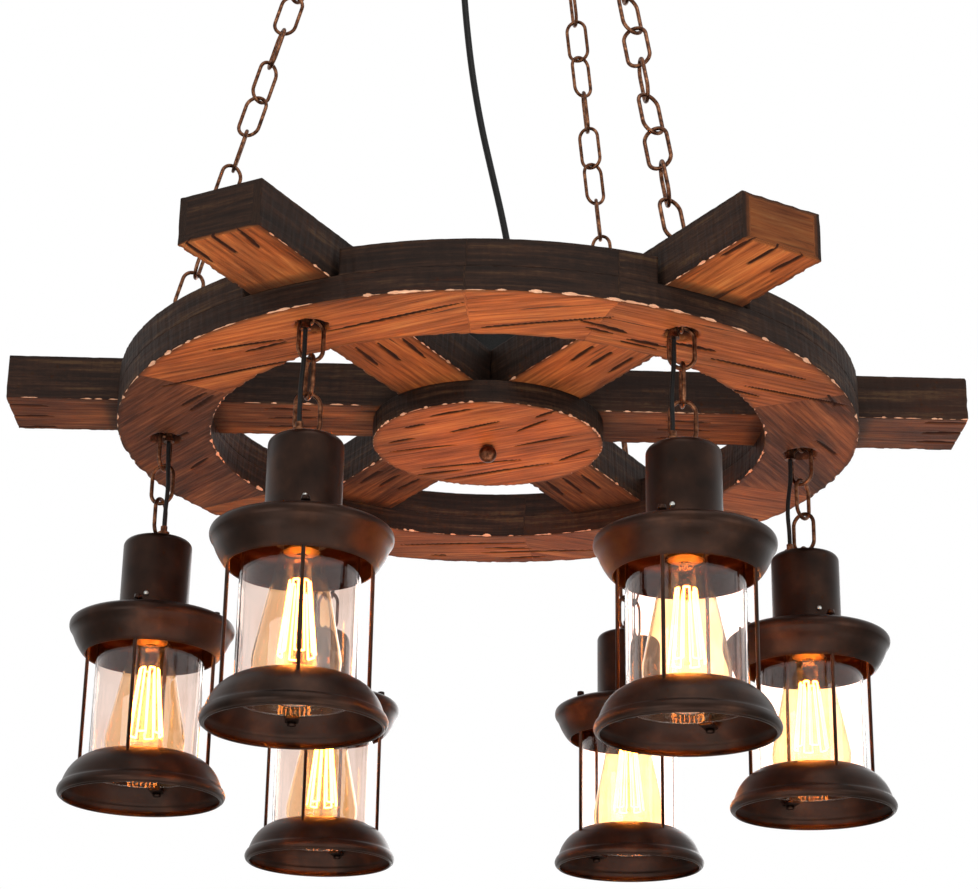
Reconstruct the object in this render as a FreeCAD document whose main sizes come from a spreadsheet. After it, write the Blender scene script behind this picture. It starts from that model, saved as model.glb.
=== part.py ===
import FreeCAD, Part
import math
import os
import re
from types import SimpleNamespace
import Sketcher
from FreeCAD import Placement, Rotation, Vector

# Wagon wheel chandelier. Six lanterns hang on short chains under a wooden wheel, and three long
# chains carry the wheel from an eye bolt in the ceiling. The origin is the middle of the ceiling
# bracket, on the ceiling, and +Z is up. Millimetres and degrees throughout.
doc = FreeCAD.newDocument("WagonWheelChandelier")

sizes = {
    # ceiling bracket, eye bolt and canopy
    "bracket_length": 100.0,
    "bracket_width": 24.0,
    "bracket_thickness": 2.5,
    "bracket_slot_spacing": 70.0,
    "bracket_slot_length": 14.0,
    "bracket_slot_width": 5.2,
    "canopy_radius": 60.0,
    "canopy_height": 30.0,
    "canopy_wall": 1.2,
    "canopy_shoulder": 14.0,
    "bolt_radius": 4.0,
    "bolt_clearance": 0.1,
    "bolt_nut_radius": 7.5,
    "bolt_nut_height": 6.5,
    "bolt_eye_wire": 6.0,
    "bolt_eye_inner_radius": 12.0,
    "bolt_eye_neck": 3.0,
    # chains that carry the wheel
    "chain_link_length": 36.0,
    "chain_link_width": 15.8,
    "chain_wire": 3.3,
    "chain_link_count": 30.0,
    "chain_link_play": 0.1,
    "chain_hook_play": 0.3,
    "chain_spread": 5.4,
    # screw eyes on top of three spokes
    "top_eye_wire": 4.0,
    "top_eye_inner_radius": 6.0,
    "top_eye_neck": 8.5,
    "top_eye_screw_radius": 2.2,
    "top_eye_screw_length": 17.0,
    "screw_clearance": 0.05,
    # wooden wheel
    "rim_outer_radius": 309.0,
    "rim_inner_radius": 231.0,
    "rim_board": 19.7,
    "rim_block_height": 21.9,
    "spoke_width": 70.5,
    "spoke_board": 18.9,
    "spoke_reach": 400.0,
    "spoke_tip": 6.0,
    "hub_radius": 97.0,
    "hook_circle_radius": 272.0,
    "recess_radius": 13.0,
    "recess_depth": 16.2,
    # hub bolt and junction box
    "hub_bolt_radius": 4.0,
    "finial_radius": 7.5,
    "finial_drop": 7.2,
    "hub_nut_radius": 7.5,
    "hub_nut_height": 6.5,
    "box_radius": 48.0,
    "box_height": 24.0,
    "box_wall": 2.0,
    "terminal_length": 46.0,
    "terminal_width": 16.0,
    "terminal_height": 12.0,
    "terminal_offset": 26.0,
    # power cable and its two glands
    "cable_diameter": 6.0,
    "gland_radius": 7.5,
    "gland_height": 9.0,
    "gland_tail_radius": 5.0,
    "gland_tail_length": 3.0,
    "canopy_gland_offset": 28.0,
    "canopy_gland_turn": 120.0,
    "box_gland_offset": 22.0,
    # lantern hook, short chain and flex
    "hook_wire": 2.8,
    "hook_inner_radius": 3.3,
    "hook_neck": 3.2,
    "hook_screw_radius": 1.6,
    "hook_screw_length": 16.0,
    "hook_play": 0.1,
    "drop_link_length": 30.0,
    "drop_link_count": 3.0,
    "flex_diameter": 3.6,
    "ferrule_offset": 9.5,
    "ferrule_radius": 3.2,
    "ferrule_tip_radius": 4.5,
    "ferrule_tip_length": 4.5,
    "ferrule_drop": 6.5,
    "flex_gland_offset": 12.2,
    "flex_gland_radius": 4.7,
    "flex_gland_height": 4.5,
    "flex_gland_tail_radius": 2.8,
    "flex_gland_tail_length": 5.0,
    # lantern loop, neck and lampholder
    "loop_radius": 5.2,
    "loop_collar_radius": 6.9,
    "loop_collar_height": 1.6,
    "loop_clearance": 0.4,
    "loop_stem_radius": 5.0,
    "loop_stem_length": 12.0,
    "stem_clearance": 0.05,
    "neck_radius": 28.0,
    "neck_height": 60.5,
    "neck_round": 6.0,
    "sheet_wall": 1.0,
    "holder_top_radius": 8.2,
    "holder_top_height": 10.0,
    "holder_radius": 19.5,
    "holder_length": 69.0,
    "holder_bore_depth": 20.0,
    # bulb with a 27 mm screw base
    "bulb_base_radius": 13.1,
    "bulb_base_length": 26.0,
    "bulb_base_clearance": 0.08,
    "bulb_contact_gap": 0.5,
    "bulb_length": 140.0,
    "bulb_radius": 32.0,
    "bulb_neck_radius": 16.5,
    "bulb_shoulder": 2.5,
    # flared cap, glass, rods and skirt
    "cap_hole_radius": 24.0,
    "cap_flat_radius": 31.0,
    "cap_fall_radius": 60.0,
    "cap_fall": 8.0,
    "cap_edge_radius": 66.7,
    "cap_edge_drop": 14.5,
    "cap_edge_tuck": 2.1,
    "cap_edge_height": 5.6,
    "cap_bowl_radius": 58.5,
    "cap_bowl_drop": 32.1,
    "cap_bowl_bulge": 0.3,
    "cap_lip_radius": 52.8,
    "cap_lip_drop": 38.6,
    "cap_lip_bulge": 0.5,
    "glass_radius": 43.5,
    "glass_wall": 2.0,
    "glass_foot_drop": 136.0,
    "glass_clearance": 0.3,
    "rod_circle_radius": 52.0,
    "rod_radius": 1.5,
    "rod_hole_clearance": 0.1,
    "rod_head_radius": 3.6,
    "rod_head_height": 4.0,
    "rod_nut_height": 3.0,
    "foot_inner_radius": 40.0,
    "foot_outer_radius": 56.0,
    "foot_width": 10.0,
    "foot_thickness": 2.0,
    "skirt_top_drop": 122.3,
    "skirt_top_radius": 44.8,
    "skirt_shoulder_radius": 54.6,
    "skirt_shoulder_fall": 7.2,
    "skirt_side_radius": 62.6,
    "skirt_side_fall": 20.6,
    "skirt_side_bulge": 0.7,
    "skirt_side_rise": 0.43,
    "skirt_radius": 66.6,
    "skirt_height": 32.6,
    "skirt_bead_depth": 1.4,
    "skirt_bead_top": 8.0,
    "skirt_bead_middle": 4.4,
    "skirt_bead_foot": 1.2,
    "skirt_lip_inset": 3.0,
    "skirt_nut_gap": 1.0,
}

sheet = doc.addObject("Spreadsheet::Sheet", "Sizes")
for row, (alias, value) in enumerate(sizes.items(), start=1):
    sheet.set(f"A{row}", alias)
    sheet.set(f"B{row}", str(value))
    sheet.setAlias(f"B{row}", alias)
doc.recompute()
v = SimpleNamespace(**sizes)

sector = 60.0  # angle from one spoke to the next
spoke_numbers = range(1, 7)

# Lantern number: the turn of its short chain, the turn of its four rods, and how far outside the
# hook circle its hook is screwed in, because the hooks are set by hand.
lanterns = {
    1: (-40.0, 12.0, -8.0),
    2: (35.0, 30.0, 1.0),
    3: (-20.0, -15.0, 5.0),
    4: (70.0, -7.0, -2.0),
    5: (20.0, 5.0, 3.0),
    6: (0.0, -24.0, 5.0),
}

# Chain name: the spoke that it meets, its side of the eye bolt, and the twist from one link to
# the next, which leaves the top link square to the eye bolt's wire.
chains = {
    "left_chain": (4, 0, 63.3),
    "near_chain": (6, -1, 61.07),
    "far_chain": (2, 1, -58.5),
}

up = Vector(0, 0, 1)
nodes = {}


def around(angle, radius=0.0, z=0.0):
    """A point at an angle and a radius about the Z axis."""
    return Vector(radius * math.cos(math.radians(angle)), radius * math.sin(math.radians(angle)), z)


def place_at(point=Vector(), turn=0.0):
    return Placement(point, Rotation(up, turn))


def formula(text):
    """The same text with every size written as a cell of the sheet."""
    return re.sub(r"[a-z]+(?:_[a-z]+)+", lambda word: "Sizes." + word.group(), text)


def primitive(kind, name, place=Placement(), **bound):
    """A primitive whose sizes follow the sheet."""
    item = doc.addObject("Part::" + kind, name)
    for key, text in bound.items():
        item.setExpression(key, formula(text))
    item.Placement = place
    return item


def cylinder(name, radius, height, point=Vector()):
    return primitive("Cylinder", name, place_at(point), Radius=radius, Height=height)


def fuse(name, *items):
    item = doc.addObject("Part::MultiFuse", name)
    item.Shapes = list(items)
    return item


def cut(name, base, *tools):
    item = doc.addObject("Part::Cut", name)
    item.Base = base
    item.Tool = tools[0] if len(tools) == 1 else fuse(name + "_tools", *tools)
    return item


def tube(name, radius, bore, height, point=Vector()):
    outer = cylinder(name + "_outer", radius, height, point)
    return cut(name, outer, cylinder(name + "_bore", bore, height, point))


def nut(name, radius, bore, height, point):
    outer = primitive("Prism", name + "_hexagon", place_at(point), Circumradius=radius, Height=height)
    return cut(name, outer, cylinder(name + "_bore", bore, height, point))


def gland(name, prefix, point, downwards=False):
    """A cable gland: a body and a narrower tail, on which the cord's end face lies."""
    radius, height = prefix + "gland_radius", prefix + "gland_height"
    tail_radius, tail_length = prefix + "gland_tail_radius", prefix + "gland_tail_length"
    flip = Rotation(Vector(1, 0, 0), 180.0 if downwards else 0.0)
    body = primitive("Cylinder", name + "_body", Placement(), Radius=radius, Height=height)
    whole = f"{height} + {tail_length}"
    tail = primitive("Cylinder", name + "_tail", Placement(), Radius=tail_radius, Height=whole)
    item = fuse(name, body, tail)
    item.Placement = Placement(point, flip)
    return item


def solid(name, shape, place=Placement()):
    """A feature with the shape made here, and its placement set afterwards."""
    item = doc.addObject("Part::Feature", name)
    item.Shape = shape
    item.Placement = place
    return item


def node(name, place, *items):
    """One piece, or one group of solids, under the name that its file takes."""
    if len(items) == 1:
        item = items[0]
        item.Placement = place.multiply(item.Placement)
    else:
        item = doc.addObject("Part::Compound", name + "_group")
        item.Links = list(items)
        item.Placement = place
    item.Label = name
    nodes[name] = item
    return item


# ---- shapes that no primitive gives ----


def line(start, end):
    """A line in the XZ plane between two (radius, z) points."""
    return Part.LineSegment(Vector(start[0], 0, start[1]), Vector(end[0], 0, end[1])).toShape()


def arc(start, middle, end):
    return Part.Arc(*[Vector(radius, 0, z) for radius, z in (start, middle, end)]).toShape()


def spun_sheet(edges, wall):
    """Spun sheet metal: the profile, drawn outwards from the axis, is given its wall on the lower
    side of its first edge, or on the upper side if the wall is negative, then turned about Z."""
    face = Part.Wire(edges).makeOffset2D(-wall, 0, True, True, False)
    return face.revolve(Vector(), up, 360)


def spun_solid(edges):
    return Part.Face(Part.Wire(edges)).revolve(Vector(), up, 360)


def disc(radius, bottom, top, centre=Vector()):
    return Part.makeCylinder(radius, top - bottom, centre + Vector(0, 0, bottom))


def oval_link(length, width, wire):
    """A chain link in the XZ plane about the origin, given the length and width of its hole."""
    bend = (width + wire) / 2
    middle = (length + wire) / 2 - bend
    section = Part.Face(Part.Wire(Part.makeCircle(wire / 2, Vector(bend, 0, middle), up)))
    top = section.revolve(Vector(0, 0, middle), Vector(0, 1, 0), -180)
    bottom = top.mirror(Vector(), up)
    sides = [disc(wire / 2, -middle, middle, Vector(side, 0, 0)) for side in (-bend, bend)]
    return top.multiFuse([bottom, *sides]).removeSplitter()


def screw_eye(wire, inner_radius, neck, screw_radius, screw_length):
    """A closed eye in the XZ plane that stands on z = 0, with its pointed screw below."""
    radius = inner_radius + wire / 2
    centre = Vector(0, 0, neck + radius + wire / 2)
    eye = Part.makeTorus(radius, wire / 2, centre, Vector(0, 1, 0))
    shank = disc(wire / 2, 0, neck + wire / 2)
    thread = disc(screw_radius, screw_radius - screw_length, 0)
    tip = Part.makeCone(0.2, screw_radius, screw_radius, Vector(0, 0, -screw_length))
    return eye.multiFuse([shank, thread, tip])


def cord(name, points, diameter):
    """A round cord along straight runs joined by tangent arcs, each as large as its runs allow.
    Its volume is compared with its section times its length."""
    edges = []
    radii = []
    start = points[0]
    for before, corner, after in zip(points, points[1:], points[2:]):
        come = (corner - before).normalize()
        leave = (after - corner).normalize()
        reach = 0.45 * min((corner - before).Length, (after - corner).Length)
        half_turn = come.getAngle(leave) / 2
        radii.append(reach / math.tan(half_turn))
        first = corner - come * reach
        last = corner + leave * reach
        inward = (leave - come).normalize()
        middle = corner + inward * radii[-1] * (1 / math.cos(half_turn) - 1)
        edges.append(Part.LineSegment(start, first).toShape())
        edges.append(Part.Arc(first, middle, last).toShape())
        start = last
    edges.append(Part.LineSegment(start, points[-1]).toShape())
    path = Part.Wire(edges)
    section = Part.Wire(Part.makeCircle(diameter / 2, points[0], points[1] - points[0]))
    shape = path.makePipeShell([section], True, False)
    share = shape.Volume / (path.Length * math.pi * diameter**2 / 4)
    print(f"{name}: length {path.Length:.1f}, volume share {share:.4f}")
    print("  radii", *[f"{radius:.0f}" for radius in radii])
    return solid(name, shape)


# ---- heights that follow from the sizes, above the ceiling or above the rim's underside ----

canopy_floor = -v.canopy_height
bolt_eye_centre = (
    canopy_floor - v.bolt_nut_height - v.bolt_eye_neck - v.bolt_eye_wire - v.bolt_eye_inner_radius
)
spoke_floor = v.rim_board
spoke_top = v.rim_board + 2 * v.spoke_board
chain_foot = spoke_top + v.top_eye_neck + v.top_eye_wire + 2 * v.top_eye_inner_radius
chain_pitch = v.chain_link_length - v.chain_link_play


def chain_ends(spoke, side):
    """Where a chain bears on the eye bolt, above the ceiling, and on its screw eye, above the
    rim's underside."""
    across = side * v.chain_spread
    sag = math.sqrt(v.bolt_eye_inner_radius**2 - across**2)
    top = Vector(0, across, bolt_eye_centre - sag)
    return top, around((spoke - 1) * sector, v.hook_circle_radius, chain_foot)


def wheel_height():
    """The rim's underside, where the shortest of the three chains is just taut."""
    length = v.chain_link_count * chain_pitch - v.chain_hook_play
    drops = []
    for spoke, side, twist in chains.values():
        top, foot = chain_ends(spoke, side)
        out = math.hypot(foot.x - top.x, foot.y - top.y)
        drops.append(top.z - math.sqrt(length**2 - out**2) - foot.z)
    return max(drops)


rim_height = wheel_height()
wheel = place_at(Vector(0, 0, rim_height))

hook_bearing = v.recess_depth - v.hook_neck - v.hook_wire - 2 * v.hook_inner_radius
drop_pitch = v.drop_link_length - v.chain_link_play
drop_foot = hook_bearing + v.hook_play - v.drop_link_count * drop_pitch - v.chain_link_play
collar_top = drop_foot - v.chain_wire - v.loop_clearance
neck_top = collar_top - v.loop_collar_height
holder_top = neck_top - v.sheet_wall
holder_floor = holder_top - v.holder_top_height - v.holder_length
bulb_top = holder_floor + v.holder_bore_depth - v.bulb_contact_gap
cap_top = neck_top - v.neck_height
glass_floor = cap_top - v.glass_foot_drop
skirt_top = cap_top - v.skirt_top_drop


# ---- ceiling ----


def ceiling_bracket():
    """A slotted strap on the ceiling, and the eye bolt that it holds with one nut under the strap
    and one under the canopy."""
    strap = primitive(
        "Box",
        "strap_plate",
        Length="bracket_length",
        Width="bracket_width",
        Height="bracket_thickness",
    )
    strap.Placement.Base = Vector(-v.bracket_length / 2, -v.bracket_width / 2, -v.bracket_thickness)
    floor = -v.bracket_thickness
    holes = [cylinder("strap_hole", "bolt_radius + bolt_clearance", "bracket_thickness", Vector(0, 0, floor))]
    straight = v.bracket_slot_length - v.bracket_slot_width
    for side in (-1, 1):
        middle = side * v.bracket_slot_spacing / 2
        slot = primitive(
            "Box",
            "slot_middle",
            Length="bracket_slot_length - bracket_slot_width",
            Width="bracket_slot_width",
            Height="bracket_thickness",
        )
        slot.Placement.Base = Vector(middle - straight / 2, -v.bracket_slot_width / 2, floor)
        holes.append(slot)
        for end in (-straight / 2, straight / 2):
            point = Vector(middle + end, 0, floor)
            holes.append(cylinder("slot_end", "bracket_slot_width / 2", "bracket_thickness", point))
    plate = cut("strap", strap, *holes)

    shank_length = "canopy_height + bolt_nut_height + bolt_eye_neck + bolt_eye_wire / 2"
    shank_floor = -v.canopy_height - v.bolt_nut_height - v.bolt_eye_neck - v.bolt_eye_wire / 2
    shank = cylinder("eye_bolt_shank", "bolt_radius", shank_length, Vector(0, 0, shank_floor))
    sideways = Placement(Vector(0, 0, bolt_eye_centre), Rotation(Vector(0, 1, 0), 90))
    eye = primitive(
        "Torus",
        "eye_bolt_eye",
        sideways,
        Radius1="bolt_eye_inner_radius + bolt_eye_wire / 2",
        Radius2="bolt_eye_wire / 2",
    )
    bolt = fuse("eye_bolt", shank, eye)
    nuts = []
    for index, top in enumerate((floor, canopy_floor), start=1):
        point = Vector(0, 0, top - v.bolt_nut_height)
        bore = "bolt_radius + screw_clearance"
        nuts.append(nut(f"bolt_nut_{index}", "bolt_nut_radius", bore, "bolt_nut_height", point))
    node("ceiling_bracket", Placement(), plate, bolt, *nuts)


def ceiling_canopy():
    """A shallow spun cup against the ceiling, with the power cable's gland on its floor."""
    hole = v.bolt_radius + v.bolt_clearance
    shoulder = v.canopy_radius - v.canopy_shoulder
    bevel = v.canopy_shoulder * (1 - math.sqrt(0.5))
    edges = [
        line((hole, canopy_floor), (shoulder, canopy_floor)),
        arc(
            (shoulder, canopy_floor),
            (v.canopy_radius - bevel, canopy_floor + bevel),
            (v.canopy_radius, canopy_floor + v.canopy_shoulder),
        ),
        line((v.canopy_radius, canopy_floor + v.canopy_shoulder), (v.canopy_radius, 0)),
    ]
    cup = solid("canopy_cup", spun_sheet(edges, -v.canopy_wall))
    point = around(v.canopy_gland_turn, v.canopy_gland_offset, canopy_floor)
    node("ceiling_canopy", Placement(), cup, gland("canopy_gland", "", point, downwards=True))


# ---- chains and screw eyes ----


def link_frame(down, across, turn):
    """The rotation of a link that hangs along down, its hole facing across, then turned."""
    facing = across - down * across.dot(down)
    rotation = Rotation(down.cross(facing), facing, -down, "ZYX")
    return Rotation(down, turn).multiply(rotation)


def wheel_chain(name, spoke, side, twist):
    """A straight run of equal links from the eye bolt to a screw eye. Returns the direction that
    the lowest link's hole faces."""
    top, foot = chain_ends(spoke, side)
    foot.z += rim_height
    down = (foot - top).normalize()
    pitch = (foot.distanceToPoint(top) + v.chain_hook_play) / v.chain_link_count
    link = oval_link(v.chain_link_length, v.chain_link_width, v.chain_wire)
    links = []
    for index in range(int(v.chain_link_count)):
        middle = top + down * ((index * pitch) + v.chain_link_length / 2 - v.chain_hook_play)
        rotation = link_frame(down, Vector(0, 1, 0), index * twist)
        copy = link.copy()
        copy.Placement = Placement(middle, rotation)
        links.append(copy)
    node(name, Placement(), solid(name + "_links", Part.makeCompound(links)))
    return rotation.multVec(Vector(0, 1, 0))


def hook_point(number):
    """Where a lantern's hook stands under its spoke."""
    return around((number - 1) * sector, v.hook_circle_radius + lanterns[number][2])


def screw_eyes(facings):
    """The screw eyes that the chains and the lanterns hang on, and the bushes that the lanterns'
    flexes come out of."""
    pieces = []
    top_eye = screw_eye(
        v.top_eye_wire,
        v.top_eye_inner_radius,
        v.top_eye_neck,
        v.top_eye_screw_radius,
        v.top_eye_screw_length,
    )
    for spoke, facing in facings.items():
        turn = math.degrees(math.atan2(facing.y, facing.x))
        eye = top_eye.copy()
        eye.Placement = place_at(around((spoke - 1) * sector, v.hook_circle_radius, spoke_top), turn)
        pieces.append(eye)
    hook = screw_eye(
        v.hook_wire,
        v.hook_inner_radius,
        v.hook_neck,
        v.hook_screw_radius,
        v.hook_screw_length,
    )
    flip = Rotation(Vector(1, 0, 0), 180)
    bush = disc(v.ferrule_radius, v.ferrule_tip_length - v.ferrule_drop, v.recess_depth)
    flare = Part.makeCone(
        v.ferrule_tip_radius, v.ferrule_radius, v.ferrule_tip_length, Vector(0, 0, -v.ferrule_drop)
    )
    ferrule = bush.fuse(flare)
    for number in spoke_numbers:
        turn = lanterns[number][0]
        centre = hook_point(number)
        eye = hook.copy()
        rotation = Rotation(up, turn + 90).multiply(flip)
        eye.Placement = Placement(centre + Vector(0, 0, v.recess_depth), rotation)
        exit_bush = ferrule.copy()
        exit_bush.Placement = place_at(centre + around(turn - 135, v.ferrule_offset))
        pieces += [eye, exit_bush]
    node("screw_eyes", wheel, solid("screw_eye_set", Part.makeCompound(pieces)))


# ---- wooden wheel ----


def rim():
    """The lower ring, with a recess under each spoke for its hook, and the six blocks between the
    spokes."""
    ring = tube("rim_board_ring", "rim_outer_radius", "rim_inner_radius", "rim_board")
    holes = []
    for number in spoke_numbers:
        centre = hook_point(number)
        holes.append(cylinder("hook_recess", "recess_radius", "recess_depth", centre))
        holes.append(cylinder("rim_pilot", "hook_screw_radius + screw_clearance", "rim_board", centre))
    node("rim_ring", wheel, cut("rim_board_cut", ring, *holes))

    floor = Vector(0, 0, v.rim_board)
    blocks = tube("block_ring", "rim_outer_radius", "rim_inner_radius", "rim_block_height", floor)
    gaps = []
    for number in range(3):
        gap = primitive(
            "Box",
            "spoke_gap",
            Length="2 * spoke_reach",
            Width="spoke_width",
            Height="rim_block_height",
        )
        corner = Vector(-v.spoke_reach, -v.spoke_width / 2, v.rim_board)
        gap.Placement = place_at(turn=number * sector).multiply(Placement(corner, Rotation()))
        gaps.append(gap)
    node("rim_blocks", wheel, cut("rim_block_cut", blocks, *gaps))


def spoke_plank(name):
    """One board of a spoke: its inner end is a point of one sector, cut off at the hub bolt."""
    body = doc.addObject("PartDesign::Body", name)
    plane = next(item for item in body.Origin.OriginFeatures if item.Role == "XY_Plane")
    outline = body.newObject("Sketcher::SketchObject", name + "_outline")
    outline.AttachmentSupport = [(plane, "")]
    outline.MapMode = "FlatFace"
    half = v.spoke_width / 2
    slope = math.tan(math.radians(sector / 2))
    side = [(v.spoke_tip, v.spoke_tip * slope), (half / slope, half), (v.spoke_reach, half)]
    corners = [Vector(x, y, 0) for x, y in side] + [Vector(x, -y, 0) for x, y in reversed(side)]
    count = len(corners)
    for index in range(count):
        segment = Part.LineSegment(corners[index], corners[(index + 1) % count])
        outline.addGeometry(segment, False)
    for index in range(count):
        outline.addConstraint(Sketcher.Constraint("Coincident", index, 2, (index + 1) % count, 1))
    for index in range(3):
        outline.addConstraint(Sketcher.Constraint("Symmetric", index, 1, count - 1 - index, 1, -1))
    bound = [
        ("spoke_tip", f"spoke_tip * tan({sector / 2})"),
        (f"spoke_width / (2 * tan({sector / 2}))", "spoke_width / 2"),
        ("spoke_reach", "spoke_width / 2"),
    ]
    for index, texts in enumerate(bound):
        for kind, text, length in zip(("DistanceX", "DistanceY"), texts, corners[index]):
            datum = outline.addConstraint(Sketcher.Constraint(kind, -1, 1, index, 1, length))
            outline.setExpression(f"Constraints[{datum}]", formula(text))
    pad = body.newObject("PartDesign::Pad", name + "_pad")
    pad.Profile = outline
    pad.setExpression("Length", formula("spoke_board"))
    return body


def spoke(number):
    """Two boards glued face to face. The lower one takes the lantern hook's screw, and the upper
    one the chain's screw eye where there is one."""
    eye_centre = Vector(v.hook_circle_radius, 0, 0)
    hook_centre = Vector(v.hook_circle_radius + lanterns[number][2], 0, 0)
    lower = cut(
        f"spoke_{number}_lower",
        spoke_plank(f"spoke_{number}_lower_board"),
        cylinder("hook_pilot", "hook_screw_radius + screw_clearance", "spoke_board", hook_centre),
    )
    lower.Placement.Base = Vector(0, 0, spoke_floor)
    upper = spoke_plank(f"spoke_{number}_upper_board")
    if number in [meets for meets, side, twist in chains.values()]:
        bore = "top_eye_screw_radius + screw_clearance"
        pilot = cylinder("eye_pilot", bore, "spoke_board", eye_centre)
        upper = cut(f"spoke_{number}_upper", upper, pilot)
    upper.Placement.Base = Vector(0, 0, spoke_floor + v.spoke_board)
    turn = place_at(turn=(number - 1) * sector)
    node(f"spoke_{number}", wheel.multiply(turn), lower, upper)


# ---- hub and junction box ----


def hub():
    """The disc under the spokes, and the bolt through it with a ball below and a nut above."""
    bore = "hub_bolt_radius + bolt_clearance"
    node("hub_disc", wheel, tube("hub_board", "hub_radius", bore, "rim_board"))
    ball = primitive(
        "Sphere",
        "finial_ball",
        place_at(Vector(0, 0, -v.finial_drop)),
        Radius="finial_radius",
        Angle2="asin(finial_drop / finial_radius)",
    )
    reach = "finial_drop + rim_board + 2 * spoke_board + box_wall + hub_nut_height + bolt_clearance"
    shank = cylinder("hub_bolt_shank", "hub_bolt_radius", reach, Vector(0, 0, -v.finial_drop))
    point = Vector(0, 0, spoke_top + v.box_wall)
    top_nut = nut("hub_nut", "hub_nut_radius", "hub_bolt_radius + screw_clearance", "hub_nut_height", point)
    node("hub_bolt", wheel, fuse("hub_bolt_whole", ball, shank), top_nut)


def junction_box():
    """A round box on the spokes with a lid, the power cable's gland and a terminal block."""
    base = Vector(0, 0, spoke_top)
    inside = Vector(0, 0, spoke_top + v.box_wall)
    cup = cut(
        "box_cup",
        cylinder("box_outer", "box_radius", "box_height", base),
        cylinder("box_inner", "box_radius - box_wall", "box_height", inside),
        cylinder("box_hole", "hub_bolt_radius + bolt_clearance", "box_wall", base),
    )
    lid_floor = Vector(0, 0, spoke_top + v.box_height)
    lid = cylinder("box_lid", "box_radius", "box_wall", lid_floor)
    block = primitive(
        "Box",
        "terminal_block",
        Length="terminal_width",
        Width="terminal_length",
        Height="terminal_height",
    )
    corner = Vector(-v.terminal_offset - v.terminal_width / 2, -v.terminal_length / 2, 0)
    block.Placement.Base = corner + inside
    point = Vector(v.box_gland_offset, 0, lid_floor.z + v.box_wall)
    node("junction_box", wheel, cup, lid, block, gland("box_gland", "", point))


def power_cable():
    """The cable hangs free from the canopy's gland to the junction box's, bowed to one side."""
    exit_point = around(v.canopy_gland_turn, v.canopy_gland_offset, canopy_floor)
    exit_point.z -= v.gland_height + v.gland_tail_length
    entry = Vector(v.box_gland_offset, 0, rim_height + spoke_top + v.box_height + v.box_wall)
    entry.z += v.gland_height + v.gland_tail_length
    free = [
        (exit_point.x, exit_point.y, 1104.0),
        (-15.2, 23.6, 1050.0),
        (-19.2, 21.6, 994.0),
        (-23.4, 19.4, 934.0),
        (-27.8, 16.8, 874.0),
        (-31.6, 13.8, 814.0),
        (-34.2, 11.0, 754.0),
        (-35.5, 8.6, 694.0),
        (-35.7, 6.4, 635.0),
        (-34.9, 4.6, 577.0),
        (-33.0, 3.1, 520.0),
        (-29.9, 2.0, 464.0),
        (-25.4, 1.1, 409.0),
        (-19.0, 0.5, 355.0),
        (-10.2, 0.1, 303.0),
        (0.4, -0.2, 255.0),
        (10.2, -0.3, 211.0),
        (17.4, -0.2, 171.0),
        (entry.x, entry.y, 131.0),
    ]
    points = [exit_point, *[Vector(x, y, z + rim_height) for x, y, z in free], entry]
    node("power_cable", Placement(), cord("power_cable_cord", points, v.cable_diameter))


# ---- lanterns, made on their own axis with z = 0 at the rim's underside ----


def hanger_shape():
    """Three links that alternate by a quarter turn, and the loop that they carry, with its collar
    on the neck and its stem inside."""
    link = oval_link(v.drop_link_length, v.chain_link_width, v.chain_wire)
    pieces = []
    for index in range(int(v.drop_link_count)):
        top = hook_bearing + v.hook_play - index * drop_pitch
        copy = link.copy()
        copy.Placement = place_at(Vector(0, 0, top - v.drop_link_length / 2), 90.0 * index)
        pieces.append(copy)
    centre = drop_foot + v.chain_link_play - v.loop_radius + v.chain_wire / 2
    ring = Part.makeTorus(v.loop_radius, v.chain_wire / 2, Vector(0, 0, centre), Vector(0, 1, 0))
    reach = v.loop_radius + v.chain_wire
    below = Part.makeBox(2 * reach, 2 * reach, 2 * reach, Vector(-reach, -reach, centre - 2 * reach))
    loop = ring.cut(below)
    for side in (-v.loop_radius, v.loop_radius):
        loop = loop.fuse(disc(v.chain_wire / 2, neck_top, centre, Vector(side, 0, 0)))
    loop = loop.fuse(disc(v.loop_collar_radius, neck_top, collar_top))
    stem = disc(v.loop_stem_radius, neck_top - v.loop_stem_length, neck_top)
    loop = loop.fuse(stem).removeSplitter()
    loop.Placement = place_at(turn=90.0 * v.drop_link_count)
    return Part.makeCompound([*pieces, loop])


def lampholder(name):
    """A round holder under the neck's top, with a threaded entry above and a socket below."""
    entry_floor = Vector(0, 0, holder_top - v.holder_top_height)
    entry = cylinder("entry", "holder_top_radius", "holder_top_height", entry_floor)
    body = cylinder("holder_body", "holder_radius", "holder_length", Vector(0, 0, holder_floor))
    stem_room = cylinder(
        "stem_room",
        "loop_stem_radius + stem_clearance",
        "loop_stem_length",
        Vector(0, 0, neck_top - v.loop_stem_length),
    )
    socket = cylinder(
        "socket",
        "bulb_base_radius + bulb_base_clearance",
        "holder_bore_depth",
        Vector(0, 0, holder_floor),
    )
    return cut(name, fuse("holder_whole", entry, body), stem_room, socket)


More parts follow.
